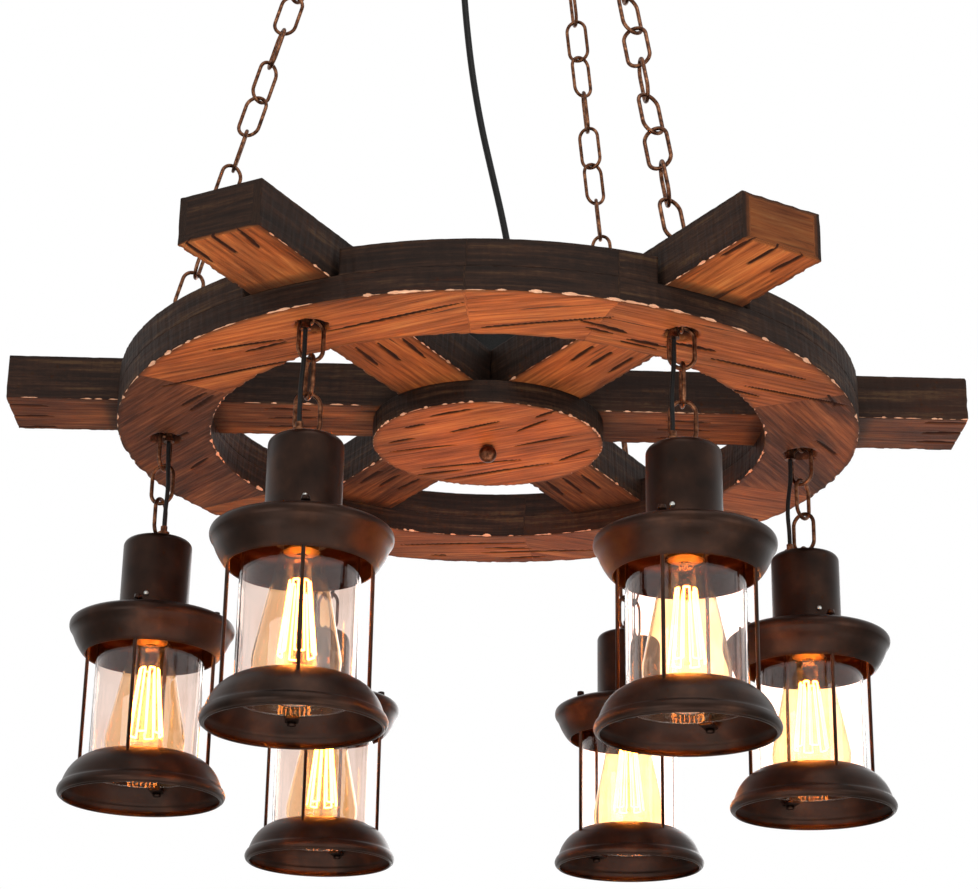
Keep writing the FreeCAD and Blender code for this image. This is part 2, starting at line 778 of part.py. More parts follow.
def cap_shape():
    """The neck, a tall spun cup, and the flared cap that it stands on, which curls in again to a
    lip. The rods' holes go through both of its walls."""
    inner = v.neck_radius - v.neck_round
    bevel = v.neck_round * (1 - math.sqrt(0.5))
    stem_hole = v.loop_stem_radius + v.stem_clearance
    neck = spun_sheet(
        [
            line((stem_hole, neck_top), (inner, neck_top)),
            arc(
                (inner, neck_top),
                (v.neck_radius - bevel, neck_top - bevel),
                (v.neck_radius, neck_top - v.neck_round),
            ),
            line((v.neck_radius, neck_top - v.neck_round), (v.neck_radius, cap_top)),
        ],
        v.sheet_wall,
    )
    fall = (v.cap_fall_radius, cap_top - v.cap_fall)
    edge = (v.cap_edge_radius, cap_top - v.cap_edge_drop)
    under = (v.cap_edge_radius - v.cap_edge_tuck, edge[1] - v.cap_edge_height)
    bowl = (v.cap_bowl_radius, cap_top - v.cap_bowl_drop)
    lip = (v.cap_lip_radius, cap_top - v.cap_lip_drop)
    side = ((under[0] + bowl[0]) / 2 + v.cap_bowl_bulge, (under[1] + bowl[1]) / 2 - v.cap_bowl_bulge)
    curl = ((bowl[0] + lip[0]) / 2 + v.cap_lip_bulge, (bowl[1] + lip[1]) / 2 - v.cap_lip_bulge)
    flare = spun_sheet(
        [
            line((v.cap_hole_radius, cap_top), (v.cap_flat_radius, cap_top)),
            line((v.cap_flat_radius, cap_top), fall),
            arc(fall, edge, under),
            arc(under, side, bowl),
            arc(bowl, curl, lip),
        ],
        v.sheet_wall,
    )
    return neck, flare


def cone_height(radius, top_radius, top, slope):
    """The height at a radius of a cone that falls by its slope from a radius and a height."""
    return top - slope * (radius - top_radius)


cap_slope = v.cap_fall / (v.cap_fall_radius - v.cap_flat_radius)
skirt_slope = v.skirt_shoulder_fall / (v.skirt_shoulder_radius - v.skirt_top_radius)
cap_wall_drop = v.sheet_wall * math.hypot(1, cap_slope)
skirt_wall_drop = v.sheet_wall * math.hypot(1, skirt_slope)
rod_seat = cone_height(v.rod_circle_radius - v.rod_head_radius, v.cap_flat_radius, cap_top, cap_slope)
skirt_seat = (
    cone_height(v.rod_circle_radius + v.rod_head_radius, v.skirt_top_radius, skirt_top, skirt_slope)
    - skirt_wall_drop
    - v.skirt_nut_gap
)
glass_top = (
    cone_height(v.glass_radius, v.cap_flat_radius, cap_top, cap_slope) - cap_wall_drop - v.glass_clearance
)


def skirt_shape():
    """The flared skirt round the foot of the glass."""
    top = (v.skirt_top_radius, skirt_top)
    shoulder = (v.skirt_shoulder_radius, skirt_top - v.skirt_shoulder_fall)
    side = (v.skirt_side_radius, skirt_top - v.skirt_side_fall)
    floor = skirt_top - v.skirt_height
    middle = (
        (shoulder[0] + side[0]) / 2 + v.skirt_side_bulge,
        (shoulder[1] + side[1]) / 2 + v.skirt_side_rise,
    )
    inset = v.skirt_radius - v.skirt_bead_depth
    bead_top = (inset, floor + v.skirt_bead_top)
    bead_middle = (v.skirt_radius, floor + v.skirt_bead_middle)
    bead_foot = (inset, floor + v.skirt_bead_foot)
    edges = [
        line(top, shoulder),
        arc(shoulder, middle, side),
        line(side, bead_top),
        arc(bead_top, bead_middle, bead_foot),
        line(bead_foot, (v.skirt_radius - v.skirt_lip_inset, floor)),
    ]
    return spun_sheet(edges, v.sheet_wall)


def drill_rods(shape, bottom, top):
    """The shape with four holes for the rods between two heights."""
    hole = v.rod_radius + v.rod_hole_clearance
    tools = [disc(hole, bottom, top, around(90 * index, v.rod_circle_radius)) for index in range(4)]
    return shape.cut(Part.makeCompound(tools))


def rod_and_foot(index):
    """A rod with its head on the cap and its nuts under the skirt and the foot, and the foot that
    the glass stands on."""
    at_rod = around(90 * index, v.rod_circle_radius)
    foot_floor = glass_floor - v.foot_thickness
    rod_floor = foot_floor - v.rod_nut_height
    rod = disc(v.rod_radius, rod_floor, rod_seat, at_rod)
    head = disc(v.rod_head_radius, rod_seat, rod_seat + v.rod_head_height, at_rod)
    skirt_nut = disc(v.rod_head_radius, skirt_seat - v.rod_nut_height, skirt_seat, at_rod)
    foot_nut = disc(v.rod_head_radius, rod_floor, foot_floor, at_rod)
    length = v.foot_outer_radius - v.foot_inner_radius
    corner = Vector(v.foot_inner_radius, -v.foot_width / 2, foot_floor)
    foot = Part.makeBox(length, v.foot_width, v.foot_thickness, corner)
    foot.rotate(Vector(), up, 90 * index)
    hole = disc(v.rod_radius + v.screw_clearance, foot_floor, glass_floor, at_rod)
    return [rod.multiFuse([head, skirt_nut, foot_nut]), foot.cut(hole)]


def bulb_shape():
    """A screw base, and an envelope whose straight neck runs tangent to its round end."""
    base_floor = bulb_top - v.bulb_base_length
    centre = bulb_top - v.bulb_length + v.bulb_radius
    neck = (v.bulb_neck_radius, base_floor - v.bulb_shoulder)
    away = math.hypot(neck[0], neck[1] - centre)
    turn = math.atan2(neck[1] - centre, neck[0]) - math.acos(v.bulb_radius / away)
    tangent = (v.bulb_radius * math.cos(turn), centre + v.bulb_radius * math.sin(turn))
    half = (turn - math.pi / 2) / 2
    middle = (v.bulb_radius * math.cos(half), centre + v.bulb_radius * math.sin(half))
    return spun_solid(
        [
            line((0, bulb_top), (v.bulb_base_radius, bulb_top)),
            line((v.bulb_base_radius, bulb_top), (v.bulb_base_radius, base_floor)),
            line((v.bulb_base_radius, base_floor), neck),
            line(neck, tangent),
            arc(tangent, middle, (0, centre - v.bulb_radius)),
            line((0, centre - v.bulb_radius), (0, bulb_top)),
        ]
    )


def flex_points():
    """The flex from its bush to the gland on the neck: distance out, sideways and up."""
    top = (v.ferrule_offset, 0.0, -v.ferrule_drop)
    free = [
        (v.ferrule_offset, 0.0, -17.0),
        (10.6, 0.5, -30.0),
        (12.7, 0.8, -43.5),
        (13.4, 0.4, -57.0),
        (v.flex_gland_offset, 0.0, -70.0),
    ]
    foot = (v.flex_gland_offset, 0.0, neck_top + v.flex_gland_height + v.flex_gland_tail_length)
    return [Vector(*point) for point in (top, *free, foot)]


def lantern(number):
    """One lantern's pieces, placed under its spoke."""
    turn, rod_turn, shift = lanterns[number]
    name = f"lantern_{number}_"
    centre = wheel.multiply(place_at(hook_point(number)))
    hung = centre.multiply(place_at(turn=turn))
    rods = centre.multiply(place_at(turn=rod_turn))
    flex_side = place_at(turn=-135)
    gland_point = flex_side.multVec(Vector(v.flex_gland_offset, 0, neck_top))
    hanger = solid(name + "chain", hanger_shape())
    node(name + "hanger", hung, hanger, gland(name + "gland", "flex_", gland_point))
    flex = cord(name + "flex_cord", flex_points(), v.flex_diameter)
    node(name + "flex", hung.multiply(flex_side), flex)
    node(name + "lampholder", centre, lampholder(name + "holder"))
    neck, flare = cap_shape()
    flare = drill_rods(flare, cap_top - v.cap_lip_drop - v.rod_radius, cap_top)
    node(name + "cap", rods, solid(name + "neck", neck), solid(name + "flare", flare))
    node(name + "bulb", centre, solid(name + "lamp", bulb_shape()))
    wall = tube(
        name + "tube",
        "glass_radius",
        "glass_radius - glass_wall",
        f"{glass_top - glass_floor}",
        Vector(0, 0, glass_floor),
    )
    node(name + "glass", centre, wall)
    skirt = drill_rods(skirt_shape(), skirt_top - v.skirt_height / 2, skirt_top)
    pieces = [piece for index in range(4) for piece in rod_and_foot(index)]
    node(name + "cage", rods, solid(name + "cage_set", Part.makeCompound([skirt, *pieces])))


ceiling_bracket()
ceiling_canopy()
facings = {spoke: wheel_chain(name, spoke, side, twist) for name, (spoke, side, twist) in chains.items()}
screw_eyes(facings)
rim()
for number in spoke_numbers:
    spoke(number)
hub()
junction_box()
power_cable()
for number in spoke_numbers:
    lantern(number)
doc.recompute()

for item in doc.Objects:
    if "Invalid" in item.State or "Error" in item.State:
        raise RuntimeError(f"{item.Name} is {item.State}")
for name, item in nodes.items():
    if item.Shape.isNull() or not item.Shape.isValid():
        raise RuntimeError(f"{name} has no valid shape")

os.makedirs("parts", exist_ok=True)
for name, item in nodes.items():
    item.Shape.exportStep(f"parts/{name}.step")
    print(f"{name}: {len(item.Shape.Solids)} solids, volume {item.Shape.Volume:.1f}")
print(f"{len(nodes)} nodes; the rim's underside is at {rim_height:.2f}")
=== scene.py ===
import bmesh
import bpy
import math
import numpy as np
from mathutils import Matrix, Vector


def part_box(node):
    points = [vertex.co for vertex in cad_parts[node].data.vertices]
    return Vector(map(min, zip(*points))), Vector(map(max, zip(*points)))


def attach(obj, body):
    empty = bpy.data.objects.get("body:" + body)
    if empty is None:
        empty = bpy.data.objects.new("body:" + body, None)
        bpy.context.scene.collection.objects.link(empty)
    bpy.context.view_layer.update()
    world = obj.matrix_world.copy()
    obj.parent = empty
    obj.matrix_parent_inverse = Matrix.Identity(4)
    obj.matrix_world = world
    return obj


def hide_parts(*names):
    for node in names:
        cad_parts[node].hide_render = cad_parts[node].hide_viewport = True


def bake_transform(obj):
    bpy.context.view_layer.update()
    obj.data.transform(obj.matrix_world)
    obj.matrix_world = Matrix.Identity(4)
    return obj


# A six lantern wagon wheel chandelier, seen from below. Metres; wheel heights are written in
# millimetres above the rim's underside.
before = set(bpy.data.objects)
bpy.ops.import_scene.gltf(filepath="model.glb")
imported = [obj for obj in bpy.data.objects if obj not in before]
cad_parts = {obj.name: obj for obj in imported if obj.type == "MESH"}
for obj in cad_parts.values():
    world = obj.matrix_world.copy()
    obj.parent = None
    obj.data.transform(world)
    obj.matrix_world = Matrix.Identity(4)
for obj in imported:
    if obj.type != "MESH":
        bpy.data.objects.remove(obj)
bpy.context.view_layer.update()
mm = 0.001
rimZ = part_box("rim_ring")[0][2]
lanternNumbers = range(1, 7)
print("frame loaded")


def hexLinear(text):  # "#rrggbb" in sRGB to linear red, green, blue, alpha
    values = [int(text[i:i + 2], 16) / 255 for i in (1, 3, 5)]
    return [c / 12.92 if c <= 0.04045 else ((c + 0.055) / 1.055) ** 2.4 for c in values] + [1.0]


def addNode(tree, kind, inputs=None, stops=None, **settings):
    # a shader node with its settings, its ramp's stops, and values or links on its inputs
    node = tree.nodes.new("ShaderNode" + kind)
    for key, value in settings.items():
        setattr(node, key, value)
    if stops:
        while len(node.color_ramp.elements) < len(stops):
            node.color_ramp.elements.new(0.5)
        for element, (position, colour) in zip(node.color_ramp.elements, stops):
            element.position = position
            element.color = hexLinear(colour)
    for key, value in (inputs or {}).items():
        if isinstance(value, bpy.types.NodeSocket):
            tree.links.new(value, node.inputs[key])
        else:
            node.inputs[key].default_value = value
    return node


def newMaterial(name, **base):
    # an empty node material with a Principled surface; the base values go on its own sockets
    material = bpy.data.materials.new(name)
    material.use_nodes = True
    tree = material.node_tree
    tree.nodes.clear()
    shader = addNode(tree, "BsdfPrincipled", base)
    addNode(tree, "OutputMaterial", {"Surface": shader.outputs[0]})
    return material, tree, shader


def smoothStep(low, high, values):  # 0 below low, 1 above high, 3t^2 - 2t^3 between
    t = np.clip((values - low) / (high - low), 0, 1)
    return t * t * (3 - 2 * t)


def ripple(values, wavelengths, seed):
    # a sum of sines of equal size with random phases, between about -1 and 1
    phases = np.random.default_rng(seed).uniform(0, 2 * np.pi, len(wavelengths))
    waves = [np.sin(2 * np.pi * values / w + p) for w, p in zip(wavelengths, phases)]
    return sum(waves) / math.sqrt(len(wavelengths))


def makeSurface(name, points, material, body, closedRows=False, closedColumns=True,
                attributes=None, smooth=True):
    # a grid of points, rows by columns, joined into quads; poles and seams are then welded
    rows, columns = points.shape[:2]
    grid = np.arange(rows * columns).reshape(rows, columns)
    if closedRows:
        grid = np.vstack([grid, grid[:1]])
    if closedColumns:
        grid = np.hstack([grid, grid[:, :1]])
    quads = np.stack([grid[:-1, :-1], grid[:-1, 1:], grid[1:, 1:], grid[1:, :-1]], axis=-1)
    quads = quads.reshape(-1, 4)
    flat = points.reshape(-1, 3).astype(float)
    a, b, c, d = (flat[quads[:, i]] for i in range(4))
    volume = np.einsum("ij,ij->i", a, np.cross(b, c) + np.cross(c, d)).sum()
    if volume < 0:
        quads = quads[:, ::-1]
    mesh = bpy.data.meshes.new(name)
    mesh.vertices.add(len(flat))
    mesh.vertices.foreach_set("co", flat.ravel())
    mesh.loops.add(quads.size)
    mesh.loops.foreach_set("vertex_index", quads.ravel().astype(np.int32))
    mesh.polygons.add(len(quads))
    mesh.polygons.foreach_set("loop_start", np.arange(0, quads.size, 4, dtype=np.int32))
    mesh.update(calc_edges=True)
    for key, values in (attributes or {}).items():
        vector = values.ndim == 3
        layer = mesh.attributes.new(key, "FLOAT_VECTOR" if vector else "FLOAT", "POINT")
        layer.data.foreach_set("vector" if vector else "value", values.astype(float).ravel())
    work = bmesh.new()
    work.from_mesh(mesh)
    bmesh.ops.remove_doubles(work, verts=work.verts, dist=1e-6)
    bmesh.ops.dissolve_degenerate(work, edges=work.edges, dist=1e-7)
    work.to_mesh(mesh)
    work.free()
    mesh.polygons.foreach_set("use_smooth", np.full(len(mesh.polygons), smooth))
    mesh.materials.append(material)
    piece = bpy.data.objects.new(name, mesh)
    bpy.context.scene.collection.objects.link(piece)
    if body:
        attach(piece, body)
    return piece


def tubeGrid(path, radius, sides=12, closed=False, start=None):
    # circles of a radius about a path, each square to it, carried along with no twist
    path = np.asarray(path, float)
    ahead = np.roll(path, -1, 0) - np.roll(path, 1, 0)
    if not closed:
        ahead[0] = path[1] - path[0]
        ahead[-1] = path[-1] - path[-2]
    ahead /= np.linalg.norm(ahead, axis=1)[:, None]
    side = np.array(start if start is not None else (0.31, 0.94, 0.12), float)
    turns = np.linspace(0, 2 * np.pi, sides, endpoint=False)
    radii = np.broadcast_to(np.asarray(radius, float), len(path))
    rings = []
    for point, direction, size in zip(path, ahead, radii):
        side = side - direction * side.dot(direction)
        side /= np.linalg.norm(side)
        other = np.cross(direction, side)
        rings.append(point + size * (np.outer(np.cos(turns), side) + np.outer(np.sin(turns), other)))
    rings = np.array(rings)
    if not closed:  # flat ends: the end rings run in to their own centres
        ends = [np.repeat(path[i][None], sides, 0)[None] for i in (0, -1)]
        rings = np.concatenate([ends[0], rings, ends[1]])
    return rings


def spin(outline, centre, segments=96):
    # a closed outline of (radius, height) in millimetres turned about a vertical axis
    turns = np.linspace(0, 2 * np.pi, segments, endpoint=False)
    outline = np.asarray(outline, float) * mm
    x = centre[0] + np.outer(np.cos(turns), outline[:, 0])
    y = centre[1] + np.outer(np.sin(turns), outline[:, 0])
    z = rimZ + np.broadcast_to(outline[:, 1], x.shape)
    return np.stack([x, y, z], axis=-1)


def curveThrough(points, steps=8):
    # a Catmull-Rom curve through points, which passes each one along its neighbours' chord
    p = np.asarray(points, float)
    p = np.vstack([2 * p[0] - p[1], p, 2 * p[-1] - p[-2]])
    t = np.linspace(0, 1, steps, endpoint=False)[:, None]
    spans = []
    for a, b, c, d in zip(p, p[1:], p[2:], p[3:]):
        spans.append(0.5 * (2 * b + (c - a) * t + (2 * a - 5 * b + 4 * c - d) * t**2
                            + (3 * b - a - 3 * c + d) * t**3))
    return np.vstack([*spans, p[-2][None]])


def sheetOutline(line, wall, bead=0.0):
    # a line's own side and its copy moved in by the wall, joined at a round bead at its end
    line = np.asarray(line, float)
    along = np.gradient(line, axis=0)
    along /= np.linalg.norm(along, axis=1)[:, None]
    inward = np.stack([along[:, 1], -along[:, 0]], axis=1)
    inner = line + inward * wall
    if not bead:
        return np.vstack([line, inner[::-1]])
    centre = (line[-1] + inner[-1]) / 2 + along[-1] * bead * 0.8
    angle = math.atan2(-inward[-1][1], -inward[-1][0])
    turn = 1 if np.cross(along[-1], -inward[-1]) < 0 else -1
    sweep = angle + turn * np.radians(np.linspace(-50, 230, 16))
    ring = centre + bead * np.stack([np.cos(sweep), np.sin(sweep)], axis=1)
    return np.vstack([line, ring, inner[::-1]])


def burntWood():
    # pine, stained and scorched: planed faces show orange-brown fibre and long dark checks, sawn
    # sides are charred nearly black with upright tool marks, and chipped edges show pale raw wood
    material, tree, shader = newMaterial("scorchedPineStainedAndChipped", Roughness=0.66)
    shader.inputs["Specular IOR Level"].default_value = 0.12
    grain = addNode(tree, "Attribute", attribute_name="grain")
    charAndPaintedShade = addNode(tree, "Attribute", attribute_name="charAndPaintedShade")
    chip = addNode(tree, "Attribute", attribute_name="chip")
    burntCutsAndRecessShade = addNode(tree, "Attribute", attribute_name="burntCutsAndRecessShade")
    stain = addNode(tree, "Attribute", attribute_name="stain")
    # fibres 1.2 mm apart and 60 mm long
    fibreAt = addNode(tree, "Mapping", {"Vector": grain.outputs["Vector"], "Scale": (16, 300, 300)})
    fibre = addNode(tree, "TexNoise", {"Vector": fibreAt.outputs[0], "Scale": 1.0, "Detail": 5.0,
                                       "Roughness": 0.65})
    # year rings 14 mm apart that wander over 180 mm
    ringAt = addNode(tree, "Mapping", {"Vector": grain.outputs["Vector"], "Scale": (5, 50, 50)})
    rings = addNode(tree, "TexNoise", {"Vector": ringAt.outputs[0], "Scale": 1.0, "Detail": 3.0,
                                       "Distortion": 1.1})
    blotchAt = addNode(tree, "Mapping", {"Vector": grain.outputs["Vector"], "Scale": (9, 20, 20)})
    blotch = addNode(tree, "TexNoise", {"Vector": blotchAt.outputs[0], "Scale": 1.0, "Detail": 3.0})
    mixed = addNode(tree, "Math", {0: rings.outputs["Fac"], 1: 0.55, 2: fibre.outputs["Fac"]},
                    operation="MULTIPLY_ADD")
    tone = addNode(tree, "MapRange", {"Value": mixed.outputs[0], "From Min": 0.5, "From Max": 1.05})
    face = addNode(tree, "ValToRGB", {"Fac": tone.outputs[0]}, stops=[
        (0.0, "#552a14"), (0.3, "#87461f"), (0.55, "#a65d2c"), (0.8, "#bb7339"), (1.0, "#cb8a4e")])
    brown = addNode(tree, "ValToRGB", {"Fac": tone.outputs[0]}, stops=[
        (0.0, "#241109"), (0.35, "#3f2213"), (0.7, "#5b3520"), (1.0, "#7a4d31")])
    # dark stain that soaked in unevenly, in patches 50 to 100 mm long
    soaked = addNode(tree, "MapRange", {"Value": blotch.outputs["Fac"], "From Min": 0.35,
                                        "From Max": 0.7, "To Min": -0.12, "To Max": 0.42})
    darkness = addNode(tree, "Math", {0: soaked.outputs[0], 1: stain.outputs["Fac"]},
                       operation="ADD", use_clamp=True)
    stained = addNode(tree, "MixRGB", {"Fac": darkness.outputs[0], "Color1": face.outputs[0],
                                       "Color2": brown.outputs[0]})
    # thin dark checks where the fibres opened
    checkAt = addNode(tree, "Mapping", {"Vector": grain.outputs["Vector"], "Scale": (8, 150, 150)})
    check = addNode(tree, "TexNoise", {"Vector": checkAt.outputs[0], "Scale": 1.0, "Detail": 4.0,
                                       "Distortion": 0.4})
    checkMask = addNode(tree, "MapRange", {"Value": check.outputs["Fac"], "From Min": 0.62,
                                           "From Max": 0.7, "To Max": 0.85})
    checked = addNode(tree, "MixRGB", {"Fac": checkMask.outputs[0], "Color1": stained.outputs[0],
                                       "Color2": hexLinear("#22100a")})
    # the char value also carries painted shade, in the corners where a spoke meets the ring; both take
    # the soot colours below
    charAndShadeNoise = addNode(tree, "Math", {0: fibre.outputs["Fac"], 1: 0.7, 2: charAndPaintedShade.outputs["Fac"]},
                        operation="MULTIPLY_ADD")
    charAndShadeMask = addNode(tree, "MapRange", {"Value": charAndShadeNoise.outputs[0], "From Min": 0.55,
                                          "From Max": 1.05})
    # tool marks 5 mm apart that stand upright on the charred sides
    toolAt = addNode(tree, "Mapping", {"Vector": grain.outputs["Vector"], "Scale": (200, 200, 22)})
    tool = addNode(tree, "TexNoise", {"Vector": toolAt.outputs[0], "Scale": 1.0, "Detail": 3.0})
    sootTone = addNode(tree, "Math", {0: tool.outputs["Fac"], 1: 0.25, 2: tone.outputs[0]},
                       operation="MULTIPLY_ADD")
    sootAndPaintedShade = addNode(tree, "ValToRGB", {"Fac": sootTone.outputs[0]}, stops=[
        (0.2, "#140c08"), (0.55, "#20140e"), (0.8, "#2f1e15"), (1.0, "#43301f")])
    charredAndShaded = addNode(tree, "MixRGB", {"Fac": charAndShadeMask.outputs[0], "Color1": checked.outputs[0],
                                       "Color2": sootAndPaintedShade.outputs[0]})
    raw = addNode(tree, "ValToRGB", {"Fac": fibre.outputs["Fac"]}, stops=[
        (0.3, "#a06a48"), (0.6, "#e0b090")])
    chipNoise = addNode(tree, "Math", {0: fibre.outputs["Fac"], 1: 0.5, 2: chip.outputs["Fac"]},
                        operation="MULTIPLY_ADD")
    chipMask = addNode(tree, "MapRange", {"Value": chipNoise.outputs[0], "From Min": 0.62,
                                          "From Max": 0.85})
    chipped = addNode(tree, "MixRGB", {"Fac": chipMask.outputs[0], "Color1": charredAndShaded.outputs[0],
                                       "Color2": raw.outputs[0]})
    # dark burnt cuts; the same dark colour fills the hook recesses as painted shade
    burntAndShaded = addNode(tree, "MapRange", {"Value": burntCutsAndRecessShade.outputs["Fac"], "From Min": 0.04,
                                       "From Max": 0.45})
    cut = addNode(tree, "MixRGB", {"Fac": burntAndShaded.outputs[0], "Color1": chipped.outputs[0],
                                   "Color2": hexLinear("#24110a")})
    tree.links.new(cut.outputs[0], shader.inputs["Base Color"])
    opened = addNode(tree, "Math", {0: fibre.outputs["Fac"], 1: check.outputs["Fac"]},
                     operation="SUBTRACT")
    tooled = addNode(tree, "Math", {0: tool.outputs["Fac"], 1: charAndPaintedShade.outputs["Fac"]},
                     operation="MULTIPLY")
    height = addNode(tree, "Math", {0: opened.outputs[0], 1: tooled.outputs[0]}, operation="ADD")
    bump = addNode(tree, "Bump", {"Height": height.outputs[0], "Strength": 0.5,
                                  "Distance": 0.0015})
    tree.links.new(bump.outputs[0], shader.inputs["Normal"])
    return material


def bronzePaint():
    # spun steel sprayed a dark bronze: a satin skin with a fine orange peel, mottled at random
    # from near black to warm brown
    material, tree, shader = newMaterial("satinBronzePaintSprayed", Metallic=0.85)
    at = addNode(tree, "TexCoord")
    mottle = addNode(tree, "TexNoise", {"Vector": at.outputs["Object"], "Scale": 45.0, "Detail": 4.0})
    peel = addNode(tree, "TexNoise", {"Vector": at.outputs["Object"], "Scale": 900.0, "Detail": 2.0})
    colour = addNode(tree, "ValToRGB", {"Fac": mottle.outputs["Fac"]}, stops=[
        (0.3, "#1b100a"), (0.55, "#281810"), (0.75, "#392317")])
    rough = addNode(tree, "MapRange", {"Value": mottle.outputs["Fac"], "To Min": 0.32, "To Max": 0.46})
    bump = addNode(tree, "Bump", {"Height": peel.outputs["Fac"], "Strength": 0.12,
                                  "Distance": 0.0003})
    tree.links.new(colour.outputs[0], shader.inputs["Base Color"])
    tree.links.new(rough.outputs[0], shader.inputs["Roughness"])
    tree.links.new(bump.outputs[0], shader.inputs["Normal"])
    return material


def chainBronze():
    # bent steel wire plated antique copper, mottled at random from black to reddish
    material, tree, shader = newMaterial("antiqueCopperPlatedWire", Metallic=1.0)
    at = addNode(tree, "TexCoord")
    patina = addNode(tree, "TexNoise", {"Vector": at.outputs["Object"], "Scale": 210.0,
                                        "Detail": 4.0, "Roughness": 0.6})
    colour = addNode(tree, "ValToRGB", {"Fac": patina.outputs["Fac"]}, stops=[
        (0.3, "#2a1a12"), (0.5, "#5d3b29"), (0.7, "#8f6347")])
    rough = addNode(tree, "MapRange", {"Value": patina.outputs["Fac"], "To Min": 0.55,
                                       "To Max": 0.3})
    bump = addNode(tree, "Bump", {"Height": patina.outputs["Fac"], "Strength": 0.2,
                                  "Distance": 0.0004})
    tree.links.new(colour.outputs[0], shader.inputs["Base Color"])
    tree.links.new(rough.outputs[0], shader.inputs["Roughness"])
    tree.links.new(bump.outputs[0], shader.inputs["Normal"])
    return material


def platedSteel(name, light, dark, roughness):
    # machined or pressed steel, plated bright, with faint turning marks 0.3 mm apart
    material, tree, shader = newMaterial(name, Metallic=1.0, Roughness=roughness)
    at = addNode(tree, "TexCoord")
    marksAt = addNode(tree, "Mapping", {"Vector": at.outputs["Object"], "Scale": (60, 60, 3000)})
    marks = addNode(tree, "TexNoise", {"Vector": marksAt.outputs[0], "Scale": 1.0, "Detail": 2.0})
    colour = addNode(tree, "ValToRGB", {"Fac": marks.outputs["Fac"]}, stops=[(0.3, dark), (0.7, light)])
    bump = addNode(tree, "Bump", {"Height": marks.outputs["Fac"], "Strength": 0.1,
                                  "Distance": 0.0002})
    tree.links.new(colour.outputs[0], shader.inputs["Base Color"])
    tree.links.new(bump.outputs[0], shader.inputs["Normal"])
    return material


def blackPlastic(name, tint, roughness):
    # black moulded polymer with a fine spark-eroded grain, dull black with little shine
    material, tree, shader = newMaterial(name, Roughness=roughness)
    shader.inputs["Specular IOR Level"].default_value = 0.14
    at = addNode(tree, "TexCoord")
    grain = addNode(tree, "TexNoise", {"Vector": at.outputs["Object"], "Scale": 1200.0, "Detail": 2.0})
    colour = addNode(tree, "ValToRGB", {"Fac": grain.outputs["Fac"]},
                     stops=[(0.3, "#070707"), (0.7, tint)])
    bump = addNode(tree, "Bump", {"Height": grain.outputs["Fac"], "Strength": 0.15,
                                  "Distance": 0.0002})
    tree.links.new(colour.outputs[0], shader.inputs["Base Color"])
    tree.links.new(bump.outputs[0], shader.inputs["Normal"])
    return material


def drawnGlass(name, colours, shadow, wave):
    # clear soda glass so thin that it hardly bends what is behind it, with a faint amber tint, a
    # slow wave from drawing and a gloss that brightens towards its sides; where the glow attribute
    # is above 0 the glass itself emits a painted glow, standing in for the glare of the wire inside
    material, tree, shader = newMaterial(name, Roughness=0.0, IOR=1.02)
    shader.inputs["Transmission Weight"].default_value = 1.0
    shader.inputs["Coat Weight"].default_value = 1.0
    shader.inputs["Coat Roughness"].default_value = 0.02
    shader.inputs["Coat IOR"].default_value = 1.47
    at = addNode(tree, "TexCoord")
    heat = addNode(tree, "Attribute", attribute_name="heat")
    waves = addNode(tree, "TexNoise", {"Vector": at.outputs["Object"], "Scale": wave, "Detail": 1.0})
    colour = addNode(tree, "ValToRGB", {"Fac": waves.outputs["Fac"]},
                     stops=[(0.3, colours[0]), (0.7, colours[1])])
    bump = addNode(tree, "Bump", {"Height": waves.outputs["Fac"], "Strength": 0.08,
                                  "Distance": 0.001})
    # painted glow: the glass emits this warm colour itself, scaled by its glow attribute
    shader.inputs["Emission Color"].default_value = hexLinear("#ffbe5c")
    tree.links.new(heat.outputs["Fac"], shader.inputs["Emission Strength"])
    tree.links.new(colour.outputs[0], shader.inputs["Base Color"])
    tree.links.new(bump.outputs[0], shader.inputs["Coat Normal"])
    clear = addNode(tree, "BsdfTransparent", {"Color": hexLinear(shadow)})
    ray = addNode(tree, "LightPath")
    mix = addNode(tree, "MixShader", {0: ray.outputs["Is Shadow Ray"], 1: shader.outputs[0],
                                      2: clear.outputs[0]})
    tree.links.new(mix.outputs[0], tree.get_output_node("ALL").inputs["Surface"])
    return material


def glowingWire():
    # tungsten at about 2400 K: it looks white because it is far brighter than all round it, and
    # its light turns the metal near it golden
    material, tree, shader = newMaterial("glowingTungstenWire", Roughness=0.5)
    heat = addNode(tree, "Attribute", attribute_name="heat")
    colour = addNode(tree, "ValToRGB", {"Fac": heat.outputs["Fac"]}, stops=[
        (0.0, "#ffb45a"), (0.4, "#ffc873"), (1.0, "#ffd68c")])
    shader.inputs["Base Color"].default_value = hexLinear("#ffb050")
    shader.inputs["Emission Strength"].default_value = 200.0
    tree.links.new(colour.outputs[0], shader.inputs["Emission Color"])
    return material


wood = burntWood()
bronze = bronzePaint()
copper = chainBronze()
zinc = platedSteel("zincPlatedPressedSteel", "#c9c9c4", "#8d8d88", 0.35)
brass = platedSteel("brassThreadRolled", "#d9b36a", "#a67c3a", 0.28)
sheath = blackPlastic("blackSheathExtruded", "#1b1a19", 0.42)
moulded = blackPlastic("blackBakeliteMoulded", "#1c1a18", 0.35)
lanternGlass = drawnGlass("amberTintedGlassDrawn", ("#f8e7de", "#faede6"), "#fff0e4", 30.0)
lampGlass = drawnGlass("amberLampGlassBlownPaintedGlow", ("#fbe3bd", "#fdebcd"), "#ffe9c6", 60.0)
tungsten = glowingWire()
print("materials made")


cameraSetup = {
    "place": (-38.067, -1848.540, -719.602),  # millimetres, above the rim's underside
    "right": (0.99949, -0.02857, 0.01407),
    "up": (-0.02348, -0.36270, 0.93161),
    "focalPixels": 2361.46,
    "frameWidth": 978,
    "frameHeight": 889,
    "principal": (493.325, 444.984),
}


